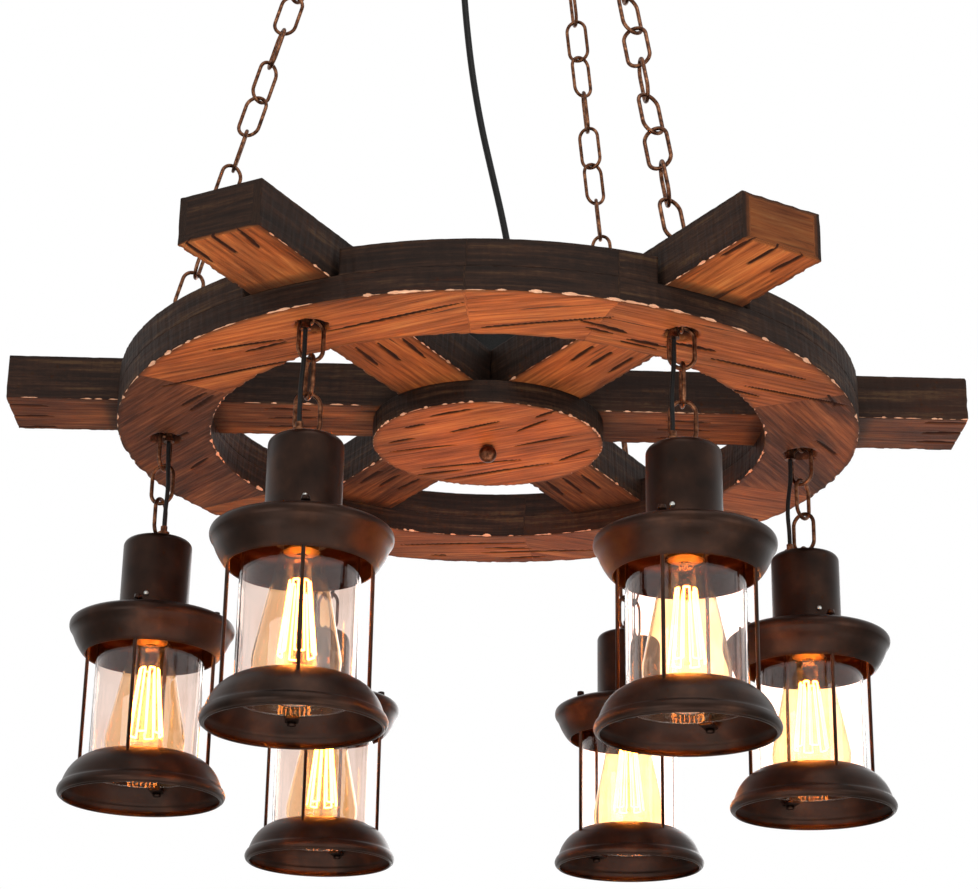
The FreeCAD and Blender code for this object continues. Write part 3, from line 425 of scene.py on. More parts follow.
def makeCamera():
    # the photograph's own view: its focal length in pixels becomes a lens for a 36 mm frame
    s = cameraSetup
    right = np.array(s["right"]) / np.linalg.norm(s["right"])
    up = np.array(s["up"]) - right * np.dot(right, s["up"])
    up /= np.linalg.norm(up)
    back = np.cross(right, up)
    data = bpy.data.cameras.new("camera")
    data.sensor_width = 36.0
    data.lens = s["focalPixels"] * data.sensor_width / s["frameWidth"]
    data.shift_x = (s["frameWidth"] / 2 - s["principal"][0]) / s["frameWidth"]
    data.shift_y = (s["principal"][1] - s["frameHeight"] / 2) / s["frameWidth"]
    camera = bpy.data.objects.new("camera", data)
    x, y, z = (value * mm for value in s["place"])
    camera.matrix_world = Matrix((
        (right[0], up[0], back[0], x),
        (right[1], up[1], back[1], y),
        (right[2], up[2], back[2], z + rimZ),
        (0, 0, 0, 1)))
    bpy.context.scene.collection.objects.link(camera)
    bpy.context.scene.camera = camera


studio = {
    "floorZ": -2.35,
    "floorSize": 14.0,
    "floorColour": "#e9e8e5",
    "worldGrey": 0.42,
    # name: place, where it looks, size, watts
    "boxes": {
        "keyBox": ((-1.5, -2.3, -1.9), (0.0, 0.0, -1.25), 1.5, 30),
        "fillBox": ((1.9, -1.9, -1.7), (0.0, 0.0, -1.25), 1.6, 22),
        "upperBox": ((0.2, -1.2, 0.4), (0.0, 0.0, -1.2), 1.4, 14),
        "underBox": ((0.0, -0.4, -2.28), (0.0, 0.0, -1.2), 1.6, 16),
        "rearBox": ((0.6, 2.2, -0.9), (0.0, 0.0, -1.2), 1.4, 16),
    },
}


def makeStudio():
    scene = bpy.context.scene
    scene.view_settings.view_transform = "Standard"
    world = bpy.data.worlds.new("studio")
    scene.world = world
    world.use_nodes = True
    tree = world.node_tree
    tree.nodes.clear()
    ray = addNode(tree, "LightPath")
    seen = addNode(tree, "Math", {0: ray.outputs["Is Camera Ray"], 1: ray.outputs["Is Glossy Ray"]},
                   operation="MAXIMUM")
    seenGlass = addNode(tree, "Math", {0: seen.outputs[0], 1: ray.outputs["Is Transmission Ray"]},
                        operation="MAXIMUM")
    grey = addNode(tree, "Background", {"Color": hexLinear("#fffdf9"), "Strength": studio["worldGrey"]})
    white = addNode(tree, "Background", {"Color": hexLinear("#ffffff"), "Strength": 1.0})
    mix = addNode(tree, "MixShader", {0: seenGlass.outputs[0], 1: grey.outputs[0],
                                      2: white.outputs[0]})
    addNode(tree, "OutputWorld", {"Surface": mix.outputs[0]})
    for name, (place, target, size, watts) in studio["boxes"].items():
        data = bpy.data.lights.new(name, "AREA")
        data.size = size
        data.energy = watts
        lamp = bpy.data.objects.new(name, data)
        back = np.subtract(place, target)
        turn = Matrix.Identity(4)
        z = back / np.linalg.norm(back)
        x = np.cross((0, 0, 1), z)
        x /= np.linalg.norm(x)
        y = np.cross(z, x)
        for column, axis in enumerate((x, y, z)):
            for row in range(3):
                turn[row][column] = axis[row]
        for row in range(3):
            turn[row][3] = place[row]
        lamp.matrix_world = turn
        lamp.visible_camera = False
        scene.collection.objects.link(lamp)
    material, tree, shader = newMaterial("paleFloorPainted", Roughness=0.85)
    at = addNode(tree, "TexCoord")
    cloud = addNode(tree, "TexNoise", {"Vector": at.outputs["Object"], "Scale": 3.0})
    tone = addNode(tree, "ValToRGB", {"Fac": cloud.outputs["Fac"]}, stops=[
        (0.3, studio["floorColour"]), (0.7, "#f1f0ee")])
    tree.links.new(tone.outputs[0], shader.inputs["Base Color"])
    half = studio["floorSize"] / 2
    x, y = np.meshgrid(np.linspace(-half, half, 2), np.linspace(-half, half, 2))
    points = np.stack([x, y, np.full_like(x, studio["floorZ"])], axis=-1)
    floor = makeSurface("studio_floor", points, material, None, closedColumns=False, smooth=False)


powerCable = {
    "diameter": 6.0,
    "sides": 16,
    # the free stretch, above the rim's underside, from the ceiling's gland to the box's
    "route": [
        (-15.2, 23.6, 1050.0),
        (-19.2, 21.6, 994.0),
        (-23.4, 19.4, 934.0),
        (-27.8, 16.8, 874.0),
        (-31.6, 13.8, 814.0),
        (-34.2, 11.0, 754.0),
        (-35.5, 8.6, 694.0),
        (-35.7, 6.4, 635.0),
        (-34.9, 4.6, 577.0),
        (-33.0, 3.1, 520.0),
        (-29.9, 2.0, 464.0),
        (-25.4, 1.1, 409.0),
        (-19.0, 0.5, 355.0),
        (-10.2, 0.1, 303.0),
        (0.4, -0.2, 255.0),
        (10.2, -0.3, 211.0),
        (17.4, -0.2, 171.0),
    ],
    "firstTurnZ": 1104.0,
    "lastTurnZ": 131.0,
    "boxGland": 22.0,
    "canopyGland": 28.0,
    "canopyGlandTurn": 120.0,
}

flexSetup = {
    "diameter": 3.6,
    "sides": 12,
    "turnFromChain": -135.0,
    # distance out, sideways and up from the lantern's axis at the rim's underside
    "route": [(9.5, 0.0, -6.5), (9.5, 0.0, -17.0), (10.6, 0.5, -30.0), (12.7, 0.8, -43.5),
              (13.4, 0.4, -57.0), (12.2, 0.0, -70.0), (12.2, 0.0, -81.9)],
}

hooks = {  # number: the turn of its short chain, the turn of its four rods, its shift outwards
    1: (-40.0, 12.0, -8.0),
    2: (35.0, 30.0, 1.0),
    3: (-20.0, -15.0, 5.0),
    4: (70.0, -7.0, -2.0),
    5: (20.0, 5.0, 3.0),
    6: (0.0, -24.0, 5.0),
}
hookCircle = 272.0


def lanternCentre(number):
    angle = math.radians(60 * (number - 1))
    radius = (hookCircle + hooks[number][2]) * mm
    return np.array([radius * math.cos(angle), radius * math.sin(angle), 0.0])


def splineLine(points, steps=12):
    # the line of a NURBS spline of order 3 whose control points are the cord's route
    data = bpy.data.curves.new("line", "CURVE")
    data.dimensions = "3D"
    spline = data.splines.new("NURBS")
    spline.points.add(len(points) - 1)
    for place, point in zip(spline.points, points):
        place.co = (*point, 1.0)
    spline.order_u = 3
    spline.use_endpoint_u = True
    spline.resolution_u = steps
    carrier = bpy.data.objects.new("line", data)
    bpy.context.scene.collection.objects.link(carrier)
    depsgraph = bpy.context.evaluated_depsgraph_get()
    mesh = bpy.data.meshes.new_from_object(carrier.evaluated_get(depsgraph))
    line = np.empty(len(mesh.vertices) * 3)
    mesh.vertices.foreach_get("co", line)
    bpy.data.meshes.remove(mesh)
    bpy.data.objects.remove(carrier)
    bpy.data.curves.remove(data)
    return line.reshape(-1, 3)


def makePowerCable():
    s = powerCable
    turn = math.radians(s["canopyGlandTurn"])
    x, y = s["canopyGland"] * math.cos(turn), s["canopyGland"] * math.sin(turn)
    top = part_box("power_cable")[1][2]
    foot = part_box("power_cable")[0][2]
    points = [(x * mm, y * mm, top), (x * mm, y * mm, rimZ + s["firstTurnZ"] * mm)]
    points += [(a * mm, b * mm, rimZ + c * mm) for a, b, c in s["route"]]
    points += [(s["boxGland"] * mm, 0, rimZ + s["lastTurnZ"] * mm), (s["boxGland"] * mm, 0, foot)]
    line = splineLine(points)
    grid = tubeGrid(line, s["diameter"] * mm / 2, s["sides"])
    piece = makeSurface("power_cable_sheath", grid, sheath, None)
    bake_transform(piece)
    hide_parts("power_cable")


def makeFlex(number):
    s = flexSetup
    turn = math.radians(hooks[number][0] + s["turnFromChain"])
    out = np.array([math.cos(turn), math.sin(turn), 0.0])
    side = np.array([-math.sin(turn), math.cos(turn), 0.0])
    base = lanternCentre(number) + np.array([0, 0, rimZ])
    points = [base + mm * (a * out + b * side + np.array([0, 0, c])) for a, b, c in s["route"]]
    line = splineLine(points)
    grid = tubeGrid(line, s["diameter"] * mm / 2, s["sides"])
    piece = makeSurface(f"lantern_{number}_flex_sheath", grid, sheath, None)
    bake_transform(piece)
    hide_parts(f"lantern_{number}_flex")


makeCamera()
makeStudio()
makePowerCable()
for number in lanternNumbers:
    makeFlex(number)
print("camera, studio and cords made")


wheelWood = {
    "outer": 309.0,
    "inner": 231.0,
    "board": 19.7,
    "blockTop": 41.6,
    "spokeHalf": 35.25,
    "spokeTop": 57.5,
    "reach": 400.0,
    "tip": 6.0,
    "hub": 97.0,
    "hubBore": 4.1,
    "hubGrain": -28.0,
    "recess": 13.0,
    "recessDepth": 16.2,
    # the ring's boards: where each starts, its grain's turn, its stain, and how charred its side is
    "boards": np.array([(20.0, 20.0, 0.45, 0.7), (80.0, -8.0, 0.4, 0.9), (146.0, -55.0, 0.95, 0.95),
                        (206.0, -29.0, 0.3, 0.75), (265.5, -14.0, 0.1, 0.95),
                        (286.5, 24.0, 0.4, 0.8), (335.0, 60.0, 0.8, 0.75)]),
}

spokeFinish = {  # number: how charred its sides are, how charred its end is, its stain
    1: (0.7, 0.8, 0.8),
    2: (0.95, 0.9, 0.7),
    3: (0.95, 0.9, 0.7),
    4: (1.0, 1.0, 0.8),
    5: (0.8, 1.0, 0.5),
    6: (0.9, 0.3, 0.4),
}

spokeCuts = {
    # three burnt cuts side by side under each spoke: their middle, their length, and their offsets
    "outer": (385.0, 36.0, (-29.0, -6.0, 17.0)),
    "inner": (166.0, 42.0, (-16.0, 3.0, 22.0)),
    "width": 4.5,
    "depth": 2.4,
}

rimCuts = {
    # burnt cuts under the ring: middle x and y, length, and turn from the x axis
    "long": [(-76, -257, 117, -30), (-210, -142, 121, -29), (-190, -199, 63, -23),
             (3, -246, 29, -14), (45, -257, 87, -14), (108, -217, 36, 24), (204, -177, 91, 25),
             (242, -125, 95, 22), (195, -131, 40, 27), (-17, 255, 118, -7), (55, 272, 117, -8)],
    "short": 20,
    "width": (3.4, 4.4),
    "depth": 1.8,
}

hubCuts = {
    "list": [(-32, -72, 41, -28), (-61, -41, 20, -33), (-12, -42, 49, -34), (35, -48, 37, -49),
             (-54, 9, 60, -20), (46, -14, 56, -30), (-13, 44, 90, -18), (10, 60, 105, -27),
             (74, 17, 40, -50), (45, -74, 22, -45), (-40, 66, 44, -22), (-72, -8, 26, -30)],
    "width": 4.8,
    "depth": 2.2,
}


def bites(along, span, pitch, depth, width, seed, share):
    # chip depths along an edge: half ellipses at random places about one pitch apart, with only
    # a share of them there
    draw = np.random.default_rng(seed)
    count = max(2, int(span / pitch))
    places = (np.arange(count) + draw.uniform(0.1, 0.9, count)) * span / count
    depths = draw.uniform(*depth, count) * (draw.random(count) < share)
    widths = draw.uniform(*width, count)
    reach = 1 - ((along[:, None] - places[None]) / widths[None]) ** 2
    return (depths[None] * np.sqrt(np.clip(reach, 0, None))).max(axis=1)


def lowerEdge(along, span, seed, depth=(0.8, 2.4), width=(2.2, 5.5), pitch=9.0, share=0.6):
    # how far an edge beside an underside is cut back: a worn line that comes and goes over
    # 60 mm, and chips
    worn = 0.5 + 0.8 * np.clip(ripple(along, (61.0, 37.0, 23.0), seed + 300), 0, 1)
    return np.maximum(worn, bites(along, span, pitch, depth, width, seed, share))


def upperEdge(along, seed):
    # a crisp sawn edge: 0.5 mm off, and up to 0.2 mm more or less
    return 0.5 + 0.2 * ripple(along, (47.0, 19.0, 11.0), seed)


def chamfer(first, second, cut):
    # how far a point goes in along both faces of an edge: half of what the cut has left over
    # after its distances to the two faces
    return np.clip(cut - (first + second), 0, None) / 2


def burnCracks(x, y, cracks):
    # depth share of pointed cuts: 1 on the middle line, falling as a parabola to 0 at the sides,
    # which close in as a half ellipse towards both ends
    share = np.zeros_like(x)
    for cx, cy, length, angle, width in cracks:
        c, s = math.cos(math.radians(angle)), math.sin(math.radians(angle))
        along = ((x - cx) * c + (y - cy) * s) / (length / 2)
        across = ((y - cy) * c - (x - cx) * s) / (width / 2)
        taper = np.sqrt(np.clip(1 - along**2, 0.01, None))
        depth = np.clip(1 - (across / taper) ** 2, 0, 1)
        share = np.maximum(share, np.where(np.abs(along) < 1, depth, 0))
    return share


def faceSteps(length, count):
    # shares along a face, its first corner among them: fine steps near both corners, even between
    edge = np.array([0.0, 0.5, 1.1, 1.8, 2.7]) / length
    middle = np.linspace(3.8 / length, 1 - 3.8 / length, count)
    return np.concatenate([edge, middle, 1 - edge[:0:-1]])


def sectionLoop(corners, shares):
    # points round a section: each side from its corner to the next, at its own shares
    parts = []
    for start, end, share in zip(corners, corners[1:] + corners[:1], shares):
        parts.append(np.outer(1 - share, start) + np.outer(share, end))
    return np.vstack(parts)


def makeSpoke(number):
    # a rectangle carried along x: where its inner end is a sector's point, y is scaled by
    # x tan 30 over the half width, and each edge is cut back by its own wear and chips
    s = wheelWood
    seed = 100 * number
    sideChar, endChar, stainLevel = spokeFinish[number]
    half, low, high = s["spokeHalf"], s["board"], s["spokeTop"]
    middle = (low + high) / 2
    rowsAt = np.concatenate([np.full(5, s["tip"]), np.linspace(s["tip"], 61, 14),
                             np.linspace(62, s["reach"] - 3, 234),
                             s["reach"] - np.array([2.2, 1.5, 0.9, 0.4]), np.full(5, s["reach"])])
    inset = np.concatenate([np.linspace(0, 1, 6)[:-1], np.ones(len(rowsAt) - 10),
                            np.linspace(1, 0, 6)[1:]])
    wallSteps = faceSteps(high - low, 12)
    section = sectionLoop([(-half, low), (half, low), (half, high), (-half, high)],
                          [faceSteps(2 * half, 42), wallSteps, faceSteps(2 * half, 10), wallSteps])
    x = np.repeat(rowsAt[:, None], len(section), 1)
    y = np.repeat(section[None, :, 0], len(rowsAt), 0) * inset[:, None]
    z = middle + (np.repeat(section[None, :, 1], len(rowsAt), 0) - middle) * inset[:, None]
    edgeY = [half + y, half - y]
    edgeZ = [z - low, high - z]
    endX = s["reach"] - x
    chip, moveX, moveY, moveZ = (np.zeros_like(x) for index in range(4))
    for sideIndex, dy in enumerate(edgeY):
        for topIndex, dz in enumerate(edgeZ):
            if topIndex == 0:
                cut = lowerEdge(rowsAt, s["reach"], seed + sideIndex)
            else:
                cut = upperEdge(rowsAt, seed + 2 + sideIndex)
            move = chamfer(dy, dz, cut[:, None])
            if topIndex == 0:
                chip = np.maximum(chip, smoothStep(0.25, 0.6, move))
            moveY += move * (1 if sideIndex == 0 else -1)
            moveZ += move * (1 if topIndex == 0 else -1)
    for index, distance in enumerate([*edgeY, *edgeZ]):
        along = (z - low) if index < 2 else (y + half)
        cut = 0.7 + bites(along.ravel(), 75.0, 15.0, (0.3, 1.1), (2.0, 5.0), seed + 10 + index, 0.6)
        move = chamfer(endX, distance, cut.reshape(x.shape))
        moveX -= move
        if index < 2:
            moveY += move * (1 if index == 0 else -1)
        else:
            moveZ += move * (1 if index == 2 else -1)
    onBottom = (edgeZ[0] < 0.01) & (inset[:, None] == 1)
    cracks = []
    draw = np.random.default_rng(seed + 50)
    for place, length, offsets in (spokeCuts["outer"], spokeCuts["inner"]):
        for offset in offsets:
            cracks.append((place + draw.uniform(-2, 2), offset + draw.uniform(-1.5, 1.5),
                           length * draw.uniform(0.85, 1.1), draw.uniform(-5, 6),
                           spokeCuts["width"]))
    burntCutsAndRecessShade = burnCracks(x, y, cracks) * onBottom
    moveZ += burntCutsAndRecessShade * spokeCuts["depth"]
    onSide = np.minimum(edgeY[0], edgeY[1]) < 0.01
    saw = 0.2 * (ripple(x + 0.15 * z, (4.3, 7.9, 13.0), seed + 60) + 1)
    glue = 0.6 * np.exp(-((z - middle) / 0.7) ** 2)
    moveIn = np.clip(saw + glue, 0, None) * onSide
    moveY += np.where(edgeY[0] < edgeY[1], moveIn, -moveIn)
    onEnd = endX < 0.01
    moveX -= 0.25 * (ripple(z + 0.1 * y, (3.1, 6.7, 11.0), seed + 61) + 1) * onEnd
    x2, y2, z2 = x + moveX, y + moveY, z + moveZ
    y2 = y2 * np.minimum(1, x * math.tan(math.pi / 6) / half)
    # the underside is darker near its side edges, where the scorch is heaviest, and within 22 mm of the
    # ring's walls, where the darkening is painted shade in the corners between spoke and ring
    nearEdge = np.minimum(edgeY[0], edgeY[1])
    nearRing = np.minimum(np.abs(x - s["outer"]), np.abs(x - s["inner"]))
    sootAndPaintedShade = np.maximum(0.5 * (1 - smoothStep(1, 7, nearEdge)), 0.55 * (1 - smoothStep(2, 22, nearRing)))
    charAndPaintedShade = np.where(onBottom, sootAndPaintedShade, sideChar)
    charAndPaintedShade = np.where(onEnd, endChar, charAndPaintedShade)
    charAndPaintedShade = np.where(edgeZ[1] < 0.01, 0.7, charAndPaintedShade)
    stain = np.full_like(x, stainLevel)
    # the end shows the grain as lines along y
    grain = np.stack([(x2 + 900 * number) * mm, y2 * mm, z2 * mm], axis=-1)
    endGrain = np.stack([(y2 + 900 * number) * mm, x2 * mm, z2 * mm], axis=-1)
    grain = np.where(onEnd[..., None], endGrain, grain)
    turn = math.radians(60 * (number - 1))
    world = np.stack([(x2 * math.cos(turn) - y2 * math.sin(turn)) * mm,
                      (x2 * math.sin(turn) + y2 * math.cos(turn)) * mm, rimZ + z2 * mm], axis=-1)
    piece = makeSurface(f"spoke_{number}_wood", world, wood, "wheel",
                        attributes={"grain": grain, "charAndPaintedShade": charAndPaintedShade, "chip": chip, "burntCutsAndRecessShade": burntCutsAndRecessShade,
                                    "stain": stain})
    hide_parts(f"spoke_{number}")


def ringBoard(name, node, low, high, first, last, shares, steps, seed, cracks):
    # a rectangular section turned from one angle to another, its edges cut back by wear and chips;
    # a full turn closes on itself, and a part turn closes at its two ends
    inner, outer = wheelWood["inner"], wheelWood["outer"]
    full = abs(last - first) >= 360
    angles = np.radians(np.linspace(first, last, steps, endpoint=not full))
    inset = np.ones(steps)
    if not full:
        angles = np.concatenate([[angles[0]], angles, [angles[-1]]])
        inset = np.concatenate([[0], inset, [0]])
    section = sectionLoop([(inner, low), (outer, low), (outer, high), (inner, high)], shares)
    middleR, middleZ = (inner + outer) / 2, (low + high) / 2
    r = middleR + (section[None, :, 0] - middleR) * inset[:, None]
    z = middleZ + (section[None, :, 1] - middleZ) * inset[:, None]
    edgeR = [r - inner, outer - r]
    edgeZ = [z - low, high - z]
    around = angles * middleR
    span = abs(angles[-1] - angles[0]) * middleR
    chip, moveR, moveZ = (np.zeros_like(r) for index in range(3))
    for sideIndex, dr in enumerate(edgeR):
        for topIndex, dz in enumerate(edgeZ):
            chipped = topIndex == 0 and full
            if chipped:
                cut = lowerEdge(around - around.min(), span, seed + sideIndex, (0.9, 3.0), (2.5, 6.5))
            else:
                cut = upperEdge(around, seed + 2 * sideIndex + topIndex)
            move = chamfer(dr, dz, cut[:, None])
            if chipped:
                chip = np.maximum(chip, smoothStep(0.25, 0.6, move))
            moveR += move * (1 if sideIndex == 0 else -1)
            moveZ += move * (1 if topIndex == 0 else -1)
    onSide = np.minimum(edgeR[0], edgeR[1]) < 0.01
    saw = 0.2 * (ripple(around[:, None] + 0.2 * z, (5.9, 11.0, 23.0), seed + 9) + 1)
    moveIn = np.clip(saw, 0, None) * onSide
    moveR += np.where(edgeR[0] < edgeR[1], moveIn, -moveIn)
    x, y = r * np.cos(angles)[:, None], r * np.sin(angles)[:, None]
    onBottom = (edgeZ[0] < 0.01) & (inset[:, None] == 1) & full
    burntCutsAndRecessShade = burnCracks(x, y, cracks) * onBottom if cracks else np.zeros_like(r)
    moveZ += burntCutsAndRecessShade * rimCuts["depth"]
    r2, z2 = r + moveR, z + moveZ
    x, y = r2 * np.cos(angles)[:, None], r2 * np.sin(angles)[:, None]
    if full:
        for number in lanternNumbers:
            cx, cy = lanternCentre(number)[:2] / mm
            dx, dy = x - cx, y - cy
            far = np.hypot(dx, dy)
            bore = wheelWood["recess"]
            rimBand = onBottom & (far >= bore) & (far < bore + 1.1)
            inside = onBottom & (far < bore)
            wall = inside & (far > bore - 1.3)
            wallScale = np.where(wall, (bore - 0.15) / np.maximum(far, 1), 1)
            scale = np.where(rimBand, bore / far, wallScale)
            x, y = cx + dx * scale, cy + dy * scale
            z2 = np.where(inside, low + wheelWood["recessDepth"], z2)
            # the recess's floor and wall take the dark burnt-cut colour, as painted shade in the recess
            burntCutsAndRecessShade = np.where(inside, 1.0, burntCutsAndRecessShade)
            chip = np.where(inside, 0.0, chip)
    # each row belongs to one board, with its own grain and stain
    boards = wheelWood["boards"]
    index = (np.searchsorted(boards[:, 0], np.degrees(angles) % 360, side="right") - 1) % len(boards)
    turn = np.radians(boards[index, 1])[:, None]
    offset = 0.37 * index[:, None] + (0 if full else 0.1 * seed)
    stain = np.broadcast_to(boards[index, 2][:, None], r.shape)
    nearEdge = np.minimum(edgeR[0], edgeR[1])
    sideChar = boards[index, 3][:, None] if full else 0.95
    charAndPaintedShade = np.where(onBottom, 0.45 * (1 - smoothStep(1, 8, nearEdge)), sideChar)
    charAndPaintedShade = np.where(edgeZ[1] < 0.01, 0.75, charAndPaintedShade)
    flatGrain = np.stack([(x * np.cos(turn) + y * np.sin(turn)) * mm + offset,
                          (y * np.cos(turn) - x * np.sin(turn)) * mm, z2 * mm], axis=-1)
    bentGrain = np.stack([around[:, None] * mm + offset + 0 * r, r2 * mm, z2 * mm], axis=-1)
    grain = np.where(onBottom[..., None], flatGrain, bentGrain)
    world = np.stack([x * mm, y * mm, rimZ + z2 * mm], axis=-1)
    piece = makeSurface(name, world, wood, "wheel", closedRows=full,
                        attributes={"grain": grain, "charAndPaintedShade": charAndPaintedShade, "chip": chip, "burntCutsAndRecessShade": burntCutsAndRecessShade,
                                    "stain": stain})
    if node:
        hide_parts(node)
    return piece


def rimCracks():
    # the long cuts, and short ones at random places that run with their board's grain
    draw = np.random.default_rng(5)
    cracks = [(*values, draw.uniform(*rimCuts["width"])) for values in rimCuts["long"]]
    boards = wheelWood["boards"]
    for index in range(rimCuts["short"]):
        angle = draw.uniform(0, 360)
        radius = draw.uniform(240, 300)
        board = boards[np.searchsorted(boards[:, 0], angle, side="right") - 1]
        turn = math.radians(angle)
        cracks.append((radius * math.cos(turn), radius * math.sin(turn), draw.uniform(14, 46),
                       board[1] + draw.uniform(-6, 6), draw.uniform(*rimCuts["width"])))
    return cracks


def makeHub():
    # a disc turned about the wheel's axis: bore, underside, rim and top
    s = wheelWood
    steps = 560
    angles = np.radians(np.linspace(0, 360, steps, endpoint=False))
    span = s["hub"] - s["hubBore"]
    fine = np.array([2.7, 1.8, 1.1, 0.5, 0.0])
    radii = np.concatenate([s["hubBore"] + np.linspace(0, span - 3.8, 58), s["hub"] - fine,
                            np.full(12, s["hub"]), s["hub"] - fine[::-1],
                            np.linspace(s["hub"] - 4, s["hubBore"], 8), np.full(3, s["hubBore"])])
    rise = np.concatenate([fine[-2::-1], np.linspace(3.8, s["board"] - 3.8, 4), s["board"] - fine[:-1]])
    heights = np.concatenate([np.zeros(63), rise, np.full(13, s["board"]),
                              np.linspace(s["board"], 0, 5)[1:-1]])
    r = np.repeat(radii[None], steps, 0)
    z = np.repeat(heights[None], steps, 0)
    x, y = r * np.cos(angles)[:, None], r * np.sin(angles)[:, None]
    around = angles * s["hub"]
    edgeR = s["hub"] - r
    lower = lowerEdge(around, 2 * math.pi * s["hub"], 70, (0.9, 2.6), (1.8, 3.4), 6.4, 0.8)
    lowerMove = chamfer(edgeR, z, lower[:, None])
    upperMove = chamfer(edgeR, s["board"] - z, upperEdge(around, 71)[:, None])
    chip = smoothStep(0.25, 0.6, lowerMove)
    onBottom = z < 0.01
    onSide = edgeR < 0.01
    cracks = [(*values, hubCuts["width"]) for values in hubCuts["list"]]
    burntCutsAndRecessShade = burnCracks(x, y, cracks) * onBottom
    saw = 0.2 * (ripple(around[:, None] + 0.2 * z, (3.3, 5.9, 11.0), 71) + 1)
    r2 = r - lowerMove - upperMove - np.clip(saw, 0, None) * onSide
    z2 = z + lowerMove - upperMove + burntCutsAndRecessShade * hubCuts["depth"]
    x, y = r2 * np.cos(angles)[:, None], r2 * np.sin(angles)[:, None]
    turn = math.radians(s["hubGrain"])
    charAndPaintedShade = np.where(onBottom, 0.4 * (1 - smoothStep(1, 8, edgeR)), 0.9)
    flatGrain = np.stack([(x * math.cos(turn) + y * math.sin(turn) + 700) * mm,
                          (y * math.cos(turn) - x * math.sin(turn) + 300) * mm, z2 * mm], axis=-1)
    bentGrain = np.stack([around[:, None] * mm + 0 * r, r2 * mm, z2 * mm], axis=-1)
    grain = np.where(onSide[..., None], bentGrain, flatGrain)
    world = np.stack([x * mm, y * mm, rimZ + z2 * mm], axis=-1)
    piece = makeSurface("hub_disc_wood", world, wood, "wheel", closedRows=True,
                        attributes={"grain": grain, "charAndPaintedShade": charAndPaintedShade, "chip": chip, "burntCutsAndRecessShade": burntCutsAndRecessShade,
                                    "stain": np.full_like(r, 0.22)})
    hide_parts("hub_disc")


for number in lanternNumbers:
    makeSpoke(number)
ringWidth = wheelWood["outer"] - wheelWood["inner"]
plain = np.array([0.0, 0.5 / ringWidth, 0.33, 0.67, 1 - 0.5 / ringWidth])
boardWall = faceSteps(wheelWood["board"], 8)
ringBoard("rim_ring_wood", "rim_ring", 0.0, wheelWood["board"], 0, 360,
          [faceSteps(ringWidth, 44), boardWall, plain, boardWall], 1040, 11, rimCracks())
blockWall = faceSteps(wheelWood["blockTop"] - wheelWood["board"], 8)
halfAngle = math.degrees(math.asin(wheelWood["spokeHalf"] / wheelWood["inner"]))
for number in lanternNumbers:
    middleAngle = 60 * (number - 1) + 30
    block = ringBoard(f"rim_block_{number}_wood", None, wheelWood["board"], wheelWood["blockTop"],
                      middleAngle - 31 + halfAngle, middleAngle + 31 - halfAngle,
                      [plain, blockWall, faceSteps(ringWidth, 16), blockWall], 150, 20 + number, None)
    if number == 1:
        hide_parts("rim_blocks")
makeHub()
print("wood made")


lanternShape = {
    # heights above the rim's underside, and radii
    "neckTop": -91.4,
    "neckRadius": 28.0,
    "capTop": -151.9,
    "glassTop": -156.7,
    "glassFoot": -287.9,
    "rodCircle": 52.0,
    "setScrew": -144.5,
    # the cap's flare and the skirt, from the inside out: radius, height
    "flare": [(24, -151.9), (31, -151.9), (46, -156.0), (58.5, -159.4), (62.6, -161.0),
              (65.5, -163.2), (66.6, -166.2), (66.2, -169.4), (64.6, -172.0), (63.2, -174.6),
              (61.5, -178.6), (59.6, -182.2), (57.2, -186.0), (55.3, -188.4), (52.8, -190.5)],
    "skirt": [(44.8, -274.2), (49.4, -276.8), (54.2, -280.6), (57.6, -284.6), (60.2, -288.8),
              (62.0, -293.0), (63.4, -296.6), (65.2, -298.8), (66.4, -302.2), (65.4, -305.2),
              (63.8, -306.2)],
}


def lanternPiece(name, outline, number, material, segments=96):
    piece = makeSurface(f"lantern_{number}_{name}", spin(outline, lanternCentre(number), segments),
                        material, f"lantern_{number}", closedRows=True)
    return piece


def makeCap(number):
    # neck: a tall cup with a rounded top. flare: a cone that rolls over an edge and runs in to a
    # lip. Both are thin sheets, a line and its copy moved in by 1 mm, turned about the axis
    s = lanternShape
    top, cap, radius = s["neckTop"], s["capTop"], s["neckRadius"]
    turns = np.linspace(0, np.pi / 2, 9)
    corner = np.stack([radius - 6 + 6 * np.sin(turns), top - 6 + 6 * np.cos(turns)], axis=1)
    neckLine = np.vstack([[(5.1, top), (14, top)], corner, [(radius, top - 30), (radius, cap + 2.4)],
                          [(radius + 0.5, cap + 0.9), (radius + 1.6, cap + 0.25)]])
    lanternPiece("neck_sheet", sheetOutline(neckLine, 1.0), number, bronze)
    flareLine = curveThrough(s["flare"], 6)
    flare = lanternPiece("cap_sheet", sheetOutline(flareLine, 1.0), number, bronze, 120)
    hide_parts(f"lantern_{number}_cap")
    # a domed set screw through the neck, above the first rod
    angle = math.radians(hooks[number][1] + 270)
    out = np.array([math.cos(angle), math.sin(angle), 0.0])
    path = [lanternCentre(number) + np.array([0, 0, rimZ + s["setScrew"] * mm]) + out * mm * far
            for far in (radius - 0.6, radius + 0.7, radius + 1.4, radius + 1.8)]
    screw = makeSurface(f"lantern_{number}_set_screw",
                        tubeGrid(path, np.array([2.1, 2.1, 1.6, 0.8]) * mm, 14), zinc,
                        f"lantern_{number}")


